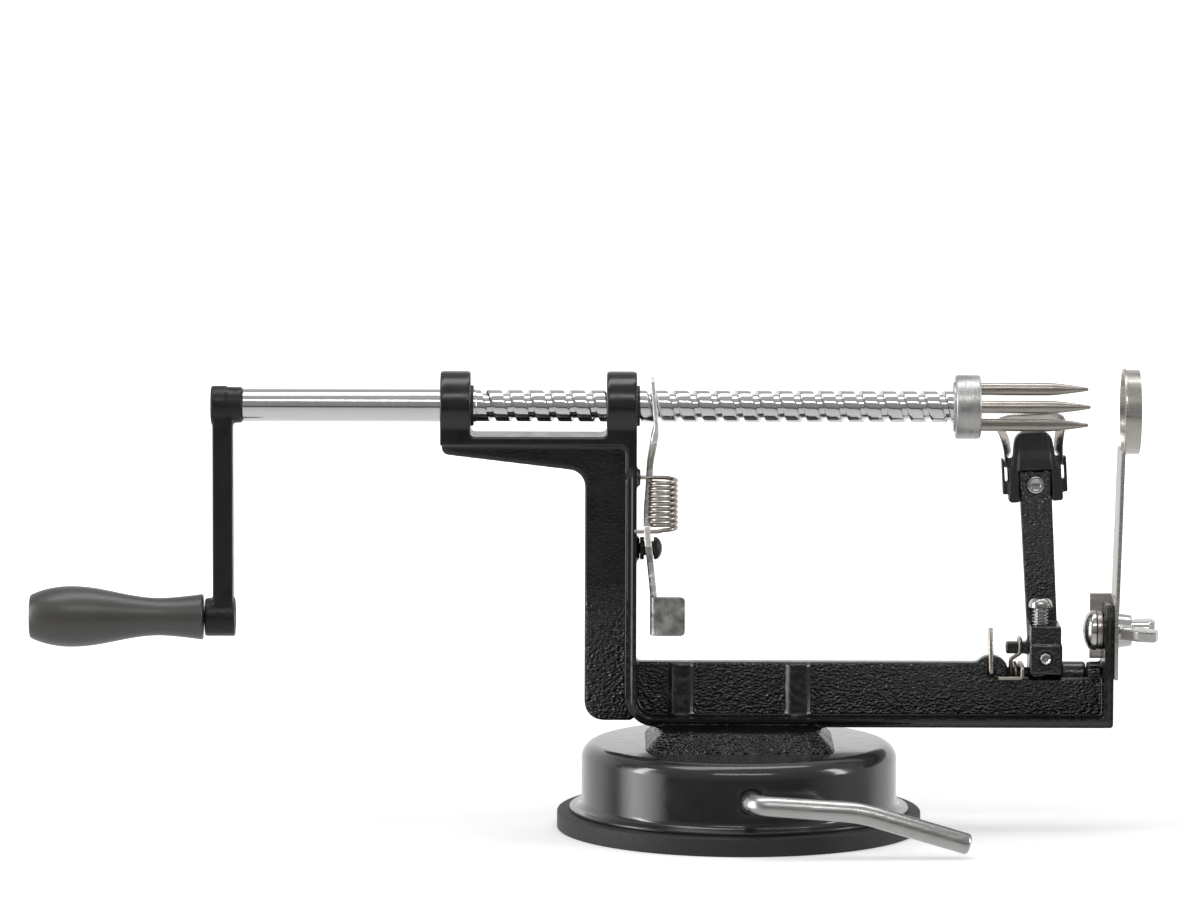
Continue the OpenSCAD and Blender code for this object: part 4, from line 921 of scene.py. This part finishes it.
class PEELER_OT_release(bpy.types.Operator):
    """Release plate, its stud and its spring"""

    bl_idname = "peeler.release"
    bl_label = "Release"
    bl_options = {"REGISTER"}

    def execute(self, context):
        plate = cast_copy("release_plate", voxel=0.24, rounds=3)
        reshape(plate, self.bowed)
        plate.name = "release_lever"
        settle(plate, "release", "nickel_plate", "release_plate", crease=60)
        self.stud()
        self.coil()
        return {"FINISHED"}

    def bowed(self, p, n):
        """Soft plate: the solid's kinked bow b(z) becomes its mean over 5 mm up and down, and below the
        thread the two faces move apart."""
        low, high = box_mm("release_stud")
        stud_z, drop, reach, fuller = (low[2] + high[2]) / 2, 38.7, 5.0, 0.3
        axis = stud_z + drop
        heights = stud_z + drop * np.array([-0.02, 0.2, 0.43, 0.68, 0.8, 1.0, 1.2])
        bows = np.array([1.4, 2.3, 1.4, 1.2, -0.6, 0.0, 0.7])
        z, out = p[:, 2], n[:, 0]
        soft = np.mean([np.interp(z + d, heights, bows) for d in np.linspace(-reach, reach, 11)], 0)
        below = 1 - step_up(z, axis - 8, axis - 4)
        bend = (np.interp(z, heights, bows) - soft) * below * step_up(z, stud_z + 2, stud_z + 8)
        apart = fuller * below * np.sign(out) * step_up(np.abs(out), 0.2, 0.7)
        return p + np.outer(bend + apart, (1, 0, 0))

    def stud(self):
        """Stud with a collar on the column, a pin for the plate and a quarter ellipse as its head."""
        low, high = box_mm("release_stud")
        r, pin, shank = (high[2] - low[2]) / 2, 1.95, 1.45
        length = high[0] - low[0]
        head, collar, seat = length - 2.3, length - 4.9, length - 6.0
        rim = head + 0.3
        u = np.linspace(0, np.pi / 2, 14)
        ball = np.stack([rim + (length - rim) * np.sin(u), r * np.cos(u)], 1)
        stem = eased([(0, 0, 0), (0, shank, 0.2), (seat, shank, 0), (seat, r, 0.2), (collar, r, 0.2),
                      (collar, pin, 0), (head, pin, 0), (head, r - 0.2, 0)], 8)
        centre = (low[0], 0, (low[2] + high[2]) / 2)
        piece("swing_stud", [turned(np.concatenate([stem, ball]), centre, sides=48)],
              "body", "dark_steel", "release_stud")

    def coil(self):
        """Helix round an upright axis, with a lower leg to the plate and an upper leg into the column."""
        coil_r, wire, pitch, turns, per_turn = 3.5, 1.12, 1.42, 9.5, 24
        centre_x, centre_y, z0, held = -20.9, -7.2, 82.5, 12
        end_x = box_mm("release_spring")[0][0] + 0.6
        t = np.linspace(0, turns, int(turns * per_turn) + 1)
        a = 2 * np.pi * t - np.pi / 2
        curls = np.stack([centre_x + coil_r * np.cos(a), centre_y + coil_r * np.sin(a), z0 + pitch * t], 1)
        x0, y0, tail = curls[0] - (0, 0, pitch / 4)
        x1, y1, z1 = curls[-1]
        lower = [(end_x, y0, tail), (x0 - 2.4, y0, tail), (x0 - 1.2, y0, tail + 0.05)]
        upper = [(x1 - 1.2, y1, z1), (x1 - 3.5, y1, z1), (end_x, y1, z1)]
        path = smooth_curve(np.concatenate([lower, curls, upper]), 2)
        across = ("body", "release", curls[-held] * MM, curls[held] * MM)
        piece("release_coil", [carried(path, wire / 2)], across, "spring_wire", "release_spring", crease=60)


class PEELER_OT_arm(bpy.types.Operator):
    """Peeling arm with its rod, spring, latch wire and screws"""

    bl_idname = "peeler.arm"
    bl_label = "Peeling arm"
    bl_options = {"REGISTER"}

    def execute(self, context):
        shapes = context.scene.peeler_shapes
        obj = cast_copy("peeler_arm", voxel=0.4, rounds=5)
        reshape(obj, hammer(shapes.hammer_cell * 0.9, shapes.hammer_depth * 0.8, self.hammered))
        obj.name = "swing_arm"
        settle(obj, "arm", "hammered_enamel", "peeler_arm", crease=60, look="hammered_arm")
        self.rod()
        self.coil()
        self.latch()
        self.stop_screw()
        self.lock_screw()
        return {"FINISHED"}

    def hammered(self, p, n):
        """Share of the dimples' depth: full on the bar's front and back, none on the block under it."""
        block_z, bar_z = 56, 62
        return step_up(np.abs(n[:, 1]), 0.7, 0.9) * step_up(p[:, 2], block_z, bar_z)

    def rod(self):
        """Rod on which the arm swings."""
        r, length, edge = (PIVOT_HIGH[2] - PIVOT_LOW[2]) / 2, PIVOT_HIGH[0] - PIVOT_LOW[0], 0.3
        profile = eased([(0, 0, 0), (0, r, edge), (length, r, edge), (length, 0, 0)])
        piece("pivot_rod", [turned(profile, (PIVOT_LOW[0], PIVOT_Y, PIVOT_Z), sides=48)],
              "body", "dark_steel", "arm_pivot_rod")

    def coil(self):
        """Spring round the rod: a hook over the arm's peg, a helix along X, and a leg along the rail."""
        low, high = box_mm("arm_spring")
        wire, coil_r, pitch, turns, bend_r = 1.1, 3.2, 1.6, 1.75, 0.75
        x0, rail_z, back, peg_low = 73.75, 41.4, 8.95, 47.5
        front, top = low[1] + wire / 2, high[2] - wire / 2
        near, crown = PIVOT_Y - coil_r, PIVOT_Z + coil_r
        t = np.linspace(0, turns, 45)
        a = np.pi + 2 * np.pi * t
        curls = np.stack([x0 + pitch * t, PIVOT_Y + coil_r * np.cos(a), PIVOT_Z + coil_r * np.sin(a)], 1)
        x1, hook_x = curls[-1][0], x0 + pitch + 1.0
        hook = rounded_path([(hook_x, back, top - 2.6), (hook_x, back, top), (hook_x, near, top),
                             (hook_x, near, peg_low), (x0, near, crown + 1.4), (x0, near, PIVOT_Z + 0.6)],
                            bend_r, 6)
        leg = rounded_path([(x1 + 0.1, PIVOT_Y - 1, crown), (x1 + 0.1, front, crown), (x1, front, rail_z),
                            (low[0], front, rail_z)], bend_r, 6)
        path = smooth_curve(np.concatenate([hook, curls[1:], leg]), 1)
        start, end = np.array([(x0, near, crown + 0.3), (x0, near, peg_low)]) * MM
        piece("arm_coil", [carried(path, wire / 2)], ("body", "arm", start, end),
              "spring_wire", "arm_spring", crease=60)

    def latch(self):
        """Bent wire: thin where the ear hides it, then forward and up as a finger with a blunt tip."""
        low, high = box_mm("latch_wire")
        wire, hidden_r, bend_r, ear_z, ear_face = 1.35, 0.3, 0.75, 42.8, -2.5
        x, front = (low[0] + high[0]) / 2 + 0.1, low[1] + wire / 2 - 0.3
        hidden = [(x, high[1], ear_z), (x, ear_face, ear_z)]
        finger = rounded_path([(x, ear_face - 0.1, ear_z), (x, front, ear_z),
                               (x - 0.3, front, high[2] - 0.2)], bend_r)
        path = np.concatenate([hidden, finger, [finger[-1] + (0, 0, 0.2)]])
        radius = np.full(len(path), wire / 2)
        radius[:2], radius[-1] = hidden_r, wire * 0.34
        piece("latch", [carried(path, radius, 16)], "latch", "spring_wire", "latch_wire", crease=50)

    def stop_screw(self):
        """Stop screw: a thread, turned upright, under a round head whose radius is a power of the cosine."""
        low, high = box_mm("depth_screw")
        x, y, _ = (low + high) / 2
        head_r, head_h, rim = (high[0] - low[0]) / 2, 3.0, 0.7
        crest, root, lead, groove, fade = 2.15, 1.65, 0.9, (0.08, 0.34), 0.6
        head_z = high[2] - head_h
        points, faces = threaded(low[2], head_z + 0.2, crest, root, lead, groove, low[2], fade, 32)
        shank = (points[:, [1, 2, 0]] + (x, y, 0), faces)
        u = np.linspace(0, np.pi / 2, 12)
        dome = np.stack([head_z + rim + (head_h - rim) * np.sin(u), head_r * np.cos(u) ** 0.8], 1)
        head = np.concatenate([[(head_z, 0), (head_z, head_r - 0.3), (head_z + 0.25, head_r)], dome])
        piece("stop_screw", [shank, turned(head, (x, y, 0), "z", 64)],
              "arm", "zinc_screw", "depth_screw", crease=40)

    def lock_screw(self):
        """Grub screw with a cup in its end, in the front of the arm's block."""
        low, high = box_mm("arm_lock_screw")
        r, tip, back, floor = (high[0] - low[0]) / 2, low[1], high[1], low[1] + 0.5
        profile = [(back, 0), (back, r), (tip + 0.6, r), (tip + 0.1, r - 0.45), (tip, r - 0.75),
                   (floor, 0.55), (floor, 0)]
        centre = ((low[0] + high[0]) / 2, 0, (low[2] + high[2]) / 2)
        piece("lock_screw", [turned(profile, centre, "y", 8)],
              "arm", "zinc_screw", "arm_lock_screw", crease=20)


class PEELER_OT_blade(bpy.types.Operator):
    """Blade holder, peeling blade and its screw"""

    bl_idname = "peeler.blade"
    bl_label = "Peeling blade"
    bl_options = {"REGISTER"}

    def execute(self, context):
        holder = cast_copy("blade_holder", voxel=0.28, rounds=4)
        reshape(holder, self.hood)
        holder.name = "blade_head"
        settle(holder, "arm", "holder_black", "blade_holder", crease=60)
        piece("peeling_strip", [self.strip()], "arm", "stainless", "peeling_blade", crease=30)
        screw = eased_copy("blade_screw", width=0.2)
        screw.name = "head_screw"
        settle(screw, "arm", "zinc_screw", "blade_screw", crease=40)
        return {"FINISHED"}

    def hood(self, p, n):
        """Raised hood on the nose's front: full at its lower edge, thin at the top, stepped at the sides,
        and with a low ridge along its middle."""
        low, high = box_mm("blade_screw")
        lean, half, taper, ridge_half = 0.052, 5.3, 0.12, 2.6
        full, thinner, ridge = 0.9, 0.6, 0.25
        z = p[:, 2] - high[2]
        x = np.abs(p[:, 0] - (low[0] + high[0]) / 2 + lean * z)
        side = step_up(half - taper * z - x, 0, 0.7)
        rise = step_up(z, 1.0, 1.6) * (full - thinner * step_up(z, 4.0, 8.0))
        rise += ridge * step_up(ridge_half - x, 0, 0.5) * step_up(z, 1.4, 2.2)
        return p - np.outer(step_up(-n[:, 1], 0.3, 0.8) * side * rise, (0, 1, 0))

    def strip(self):
        """Peeling strip, in the leaning frame of the arm's head: its front edge stands in the cheeks, widens
        and arches over the nose. Its back edge lies inside the front one, so it opens like a funnel."""
        width, narrower, lower, thick = 4.6, 0.25, 2.0, 0.6
        left = [(-7.7, 1.0), (-7.7, 2.0), (-7.8, 3.4), (-8.2, 6.8), (-9.0, 9.8), (-9.8, 12.2), (-9.2, 14.2),
                (-6.6, 15.1), (-3, 15.2)]
        right = [(3, 15.2), (6.2, 15.1), (8.4, 14.2), (9.0, 12.2), (8.5, 9.8), (8.0, 6.8), (7.75, 3.4),
                 (7.7, 2.0), (7.7, 1.0)]
        front = smooth_curve([(x, 0, z) for x, z in left + right], 6)
        x, y, z = front.T
        back = np.stack([x * (1 - narrower * step_up(z, 1.8, 5.2)), y + width,
                         z - lower * step_up(z, 8, 14)], 1)
        return band(self.on_head(front), self.on_head(back), thick)

    def on_head(self, p):
        """Places in the head's frame, which leans 3 degrees to the left and 2.4 degrees to the back."""
        foot_x, foot_y, foot_z = 80.07, 8.89, 96.9
        lean, tilt = math.radians(3), math.radians(2.4)
        x, y, z = p.T
        return np.stack([foot_x + x - lean * z, foot_y + y + tilt * z, foot_z + z + lean * x], 1)


class PEELER_OT_corer(bpy.types.Operator):
    """Coring ring with its strip, bolt, washer and wing nut"""

    bl_idname = "peeler.corer"
    bl_label = "Corer"
    bl_options = {"REGISTER"}

    def execute(self, context):
        corer = eased_copy("corer_blade", width=0.2)
        corer.name = "coring_blade"
        settle(corer, "body", "stainless", "corer_blade", crease=30, look="corer_steel")
        low, high = box_mm("clamp_bolt")
        clamp_z = (low[2] + high[2]) / 2
        self.bolt(clamp_z)
        self.washer(clamp_z)
        nut = cast_copy("wing_nut", voxel=0.26, rounds=5)
        nut.name = "wing"
        settle(nut, "wing", "zinc_screw", "wing_nut", crease=60)
        return {"FINISHED"}

    def bolt(self, z):
        """Bolt along X: a round head, whose radius is a power of the cosine, with a cross cut into it."""
        low, high = box_mm("clamp_bolt")
        r, length = (high[2] - low[2]) / 2, high[0] - low[0]
        head, crown, shank_r, tip_r = 3.5, 2.7, 2.5, 2.0
        long, short = 2.4, 0.55
        u = np.linspace(np.pi / 2, 0, 14)
        dome = np.stack([crown - crown * np.sin(u), r * np.cos(u) ** 0.9], 1)
        shank = [(head - 0.2, r), (head, r - 0.2), (head, shank_r), (length - 0.5, shank_r), (length, tip_r),
                 (length, 0)]
        profile = np.concatenate([dome, shank])
        bolt = loose("clamp_screw", mesh_from("clamp_screw", [turned(profile, (low[0], 0, z), sides=72)]))
        for half_y, half_z in ((long, short), (short, long)):
            cut_away(bolt, [self.cross_bar(half_y, half_z, low[0], z)])
        settle(bolt, "body", "zinc_screw", "clamp_bolt")

    def cross_bar(self, half_y, half_z, x, z):
        """One bar of the cross: a block that starts before the head and narrows into it."""
        before, depth, narrow = 1.0, 1.5, 0.6
        corners = np.array([(-half_y, -half_z), (half_y, -half_z), (half_y, half_z), (-half_y, half_z)])
        rows = [(x - before, 0), (x - before, 1), (x + depth, narrow), (x + depth, 0)]
        points = [np.column_stack([np.full(4, at), corners * share + (0, z)]) for at, share in rows]
        return np.concatenate(points), sheet_faces(4, 4, True)

    def washer(self, z):
        """Washer under the bolt's head."""
        low, high = box_mm("clamp_washer")
        r, thick, bore, edge = (high[2] - low[2]) / 2, high[0] - low[0], 2.55, 0.4
        profile = eased([(0, bore, 0), (0, r, edge), (thick, r, edge), (thick, bore, 0), (0, bore, 0)], 4)
        piece("washer", [turned(profile, (low[0], 0, z), sides=72)], "body", "stainless", "clamp_washer")


class PEELER_OT_base(bpy.types.Operator):
    """Suction dome, rubber pad and lever"""

    bl_idname = "peeler.base"
    bl_label = "Suction base"
    bl_options = {"REGISTER"}

    def execute(self, context):
        self.dome()
        self.pad()
        self.lever()
        dress("pad_stem", "dark_steel")
        dress("base_screws", "zinc_screw")
        return {"FINISHED"}

    def dome(self):
        """Bell with a thin lip, hollow inside, and a stepped hole for the lever."""
        z0, top, flange = DOME_LOW[2], DOME_HIGH[2], (DOME_HIGH[0] - DOME_LOW[0]) / 2
        r, wall, edge, foot_r, crown_r = 42.7, 2.4, 0.3, 1.9, 4.2
        lip = z0 + 1.0
        outer = eased([(z0, r - wall, 0), (z0, flange, edge), (lip, flange, edge), (lip + 0.3, r, foot_r),
                       (top, r, crown_r), (top, 0, 0)], 10)
        inner = [(top - wall, 0), (top - wall, r - wall), (z0, r - wall)]
        bell = turned(np.concatenate([outer, inner]), (0, 0, 0), "z", BASE_SIDES)
        dome = loose("dome", mesh_from("dome", [bell]))
        bore, recess, seat = LEVER_R + 0.12, LEVER_R + 0.9, 1.5 - r
        outside, inside = -60, -30
        hole = [(outside, 0), (outside, recess), (seat, recess), (seat, bore), (inside, bore), (inside, 0)]
        cut_away(dome, [turned(hole, (LEVER_X, 0, LEVER_Z), "y", 48)])
        settle(dome, "body", "gloss_enamel", "suction_dome", crease=30)

    def pad(self):
        """Rubber disc with an upright edge."""
        r, thick = (PAD_HIGH[0] - PAD_LOW[0]) / 2, PAD_HIGH[2]
        profile = eased([(0, 0, 0), (0, r, 0.4), (thick, r, 0.6), (thick, 0, 0)], 6)
        piece("pad", [turned(profile, (0, 0, 0), "z", BASE_SIDES)],
              "body", "pad_rubber", "suction_pad", crease=40)

    def lever(self):
        """Bent rod: out of the dome, round an elbow, along a level stretch and down a slope from a soft
        knee. Inside, it carries a disc with an eccentric pin."""
        level, slope, fall, drop = 29.0, 30.0, math.radians(3.4), math.radians(16.4)
        start_y, elbow_y, elbow_r, knee_r, throw = -8, -50, 5.0, 40.0, 2
        disc_r, disc_end, pin_r, pin_end = 5, -4, 2, 3
        elbow = np.array([LEVER_X, elbow_y, LEVER_Z])
        knee = elbow + level * np.array([math.cos(fall), 0, -math.sin(fall)])
        way = np.array([math.cos(drop), 0, -math.sin(drop)])
        tip = knee + slope * way
        root = rounded_path([(LEVER_X, start_y, LEVER_Z), elbow, elbow + 0.4 * (knee - elbow)], elbow_r, 10)
        bend = rounded_path([elbow + 0.5 * (knee - elbow), knee, tip - way], knee_r, 10)
        path = np.concatenate([root, bend, [tip - way * 0.5, tip]])
        radius = np.full(len(path), LEVER_R)
        radius[-2:] = LEVER_R - 0.12, LEVER_R - 0.6
        disc = eased([(start_y, 0, 0), (start_y, disc_r, 0.4), (disc_end, disc_r, 0.4), (disc_end, 0, 0)])
        pin_start = disc_end - 0.2
        pin = eased([(pin_start, 0, 0), (pin_start, pin_r, 0), (pin_end, pin_r, 0.3), (pin_end, 0, 0)])
        chunks = [carried(path, radius, 32), turned(disc, (LEVER_X, 0, LEVER_Z), "y", 48),
                  turned(pin, (LEVER_X, 0, LEVER_Z - throw), "y", 32)]
        piece("lever", chunks, "lever", "lever_steel", "suction_lever", crease=40)


class PEELER_OT_stage(bpy.types.Operator):
    """Floor, lamps, walls that only metal sees, and the camera"""

    bl_idname = "peeler.stage"
    bl_label = "Stage"
    bl_options = {"REGISTER"}

    def execute(self, context):
        scene, settings = context.scene, context.scene.peeler_stage
        scene.view_settings.view_transform = "Standard"
        self.world(scene)
        self.floor(settings)
        self.walls()
        self.lamps(settings)
        self.camera(scene, settings)
        return {"FINISHED"}

    def world(self, scene):
        """White world: full for the camera and for what metal and glass show, dim as a light."""
        light = 0.35
        world = bpy.data.worlds.new("studio")
        scene.world = world
        world.use_nodes = True
        tree = world.node_tree
        back = tree.nodes["Background"]
        seen = tree.nodes.new("ShaderNodeLightPath")
        level = light
        for ray in ("Is Camera Ray", "Is Glossy Ray", "Is Transmission Ray"):
            level = calc(tree, "MAXIMUM", seen.outputs[ray], level)
        tree.links.new(level, back.inputs["Strength"])
        back.inputs["Color"].default_value = (1, 1, 1, 1)

    def floor(self, settings):
        """White floor that glows for the camera: a little at the object, and by 1 far from it."""
        size, near, far = 6000.0, 0.1, 0.9
        corners = np.array([(-size, -size, 0), (size, -size, 0), (size, size, 0), (-size, size, 0)], float)
        obj = loose("floor", mesh_from("floor", [(corners, [[0, 1, 2, 3]])]))
        color, rough, gloss = tuple(settings.floor_color), 0.6, 0.1
        mat, tree, bsdf = shader("floor_white", color, 0.0, rough, Specular_IOR_Level=gloss)
        seen = tree.nodes.new("ShaderNodeLightPath")
        away = tree.nodes.new("ShaderNodeVectorMath")
        away.operation = "LENGTH"
        tree.links.new(spot(tree), away.inputs[0])
        glow = spread(tree, away.outputs["Value"], settings.floor_glow, 1.0, near, far)
        bsdf.inputs["Emission Color"].default_value = (1, 1, 1, 1)
        tree.links.new(calc(tree, "MULTIPLY", glow, seen.outputs["Is Camera Ray"]),
                       bsdf.inputs["Emission Strength"])
        obj.data.materials.append(mat)
        obj.visible_glossy = False

    def walls(self):
        """Studio that only metal and gloss see: a sphere whose radiance is a table over the height of the
        direction, one for the dim front and one for the white back, with two soft boxes at the sides."""
        size = 3300
        angle = np.linspace(-np.pi / 2, np.pi / 2, 25)
        profile = np.stack([size * np.sin(angle), size * np.cos(angle)], 1)
        obj = loose("studio_walls", mesh_from("studio_walls", [turned(profile, (0, 0, 0), "z", 48)]))
        mat = bpy.data.materials.new("studio_walls")
        mat.use_nodes = True
        tree = mat.node_tree
        tree.nodes.clear()
        out = tree.nodes.new("ShaderNodeOutputMaterial")
        glow = tree.nodes.new("ShaderNodeEmission")
        tree.links.new(self.radiance(tree), glow.inputs["Strength"])
        tree.links.new(glow.outputs[0], out.inputs["Surface"])
        obj.data.materials.append(mat)
        obj.visible_camera = False
        obj.visible_diffuse = False
        obj.visible_shadow = False

    def radiance(self, tree):
        """Brightness of the walls over the direction from the object."""
        way = tree.nodes.new("ShaderNodeVectorMath")
        way.operation = "NORMALIZE"
        tree.links.new(spot(tree), way.inputs[0])
        x, y, z = axes(tree, way.outputs["Vector"])
        front = table(tree, z, [(-1, 0.75), (-0.3, 0.6), (-0.17, 0.5), (-0.13, 0.07), (-0.03, 0.06),
                                (0.03, 0.25), (0.5, 0.32), (1, 0.5)])
        back = table(tree, z, [(-1, 0.8), (-0.5, 0.9), (0, 1.0), (0.45, 1.0), (0.6, 0.5), (1, 0.5)])
        behind = spread(tree, y, 0.0, 1.0, 0.1, 0.5)
        before = calc(tree, "SUBTRACT", 1.0, behind)
        level = calc(tree, "ADD", calc(tree, "MULTIPLY", back, behind),
                     calc(tree, "MULTIPLY", front, before))
        left = calc(tree, "MULTIPLY", spread(tree, x, 4.0, 0.0, -0.98, -0.8),
                    spread(tree, y, 1.0, 0.0, -0.1, 0.2))
        right = spread(tree, x, 0.0, 0.45, 0.7, 0.98)
        tall = calc(tree, "MULTIPLY", spread(tree, z, 0.0, 1.0, -0.4, -0.2),
                    spread(tree, z, 1.0, 0.0, 0.4, 0.5))
        boxes = calc(tree, "MULTIPLY", calc(tree, "ADD", left, right), tall)
        return calc(tree, "MAXIMUM", level, boxes)

    def lamps(self, settings):
        """One wide lamp overhead, one over the camera and two tall ones at the sides, in metres."""
        middle, tall, side_x, side_y, side_z = (0, 0, 0.08), (0.26, 1.0), 1.5, -0.3, 0.6
        self.lamp("top_lamp", (-0.1, 0.1, 1.5), (-0.05, 0, 0.08), (1.6, 0.5), settings.top_power)
        self.lamp("front_lamp", (0.05, -1.2, 1.1), middle, (1.1, 0.16), settings.front_power)
        self.lamp("left_lamp", (-side_x, side_y, side_z), middle, tall, settings.side_power)
        self.lamp("right_lamp", (side_x, side_y, side_z), middle, tall, settings.side_power)

    def lamp(self, name, place, aim, size, power):
        """Rectangular lamp that looks from its place to its aim."""
        data = bpy.data.lights.new(name, "AREA")
        data.shape = "RECTANGLE"
        data.size, data.size_y = size
        data.energy = power
        obj = loose(name, data)
        way = np.array(aim, float) - np.array(place, float)
        way /= np.linalg.norm(way)
        obj.location = place
        obj.rotation_euler = (math.acos(-way[2]), 0, math.atan2(way[1], way[0]) - math.pi / 2)

    def camera(self, scene, settings):
        """Long lens in front, which looks a little down and is turned a little on its axis."""
        aim, roll = np.array([-0.0386, 0.0, 0.103]), math.radians(-0.17)
        pitch = settings.camera_pitch
        data = bpy.data.cameras.new("camera")
        data.sensor_width = 36.0
        data.lens = 210.0
        data.clip_end = 50
        obj = loose("camera", data)
        obj.location = aim + np.array([0, -math.cos(pitch), math.sin(pitch)]) * settings.camera_distance
        obj.rotation_euler = (math.pi / 2 - pitch, roll, 0)
        scene.camera = obj


class PEELER_PT_panel(bpy.types.Panel):
    """Sidebar panel with the settings and the operators"""

    bl_idname = "PEELER_PT_panel"
    bl_label = "Apple peeler"
    bl_space_type = "VIEW_3D"
    bl_region_type = "UI"
    bl_category = "Peeler"

    def draw(self, context):
        for group in (context.scene.peeler_shapes, context.scene.peeler_finish, context.scene.peeler_stage):
            box = self.layout.box()
            for name in group.__annotations__:
                box.prop(group, name)
        for operator in OPERATORS:
            self.layout.operator(operator.bl_idname)


GROUPS = {"peeler_shapes": PeelerShapes, "peeler_finish": PeelerFinish, "peeler_stage": PeelerStage}
OPERATORS = (
    PEELER_OT_frame, PEELER_OT_screw, PEELER_OT_crank, PEELER_OT_fork, PEELER_OT_release, PEELER_OT_arm,
    PEELER_OT_blade, PEELER_OT_corer, PEELER_OT_base, PEELER_OT_stage,
)


def register():
    """Registers the classes and gives the scene their settings."""
    for cls in (*GROUPS.values(), *OPERATORS, PEELER_PT_panel):
        bpy.utils.register_class(cls)
    for name, cls in GROUPS.items():
        setattr(bpy.types.Scene, name, bpy.props.PointerProperty(type=cls))


def unregister():
    """Takes the settings off the scene and the classes out again."""
    for name in GROUPS:
        delattr(bpy.types.Scene, name)
    for cls in reversed((*GROUPS.values(), *OPERATORS, PEELER_PT_panel)):
        bpy.utils.unregister_class(cls)


def main():
    """Builds all the pieces and the stage."""
    register()
    for operator in OPERATORS:
        getattr(bpy.ops.peeler, operator.bl_idname.split(".")[1])()


if __name__ == "__main__":
    main()
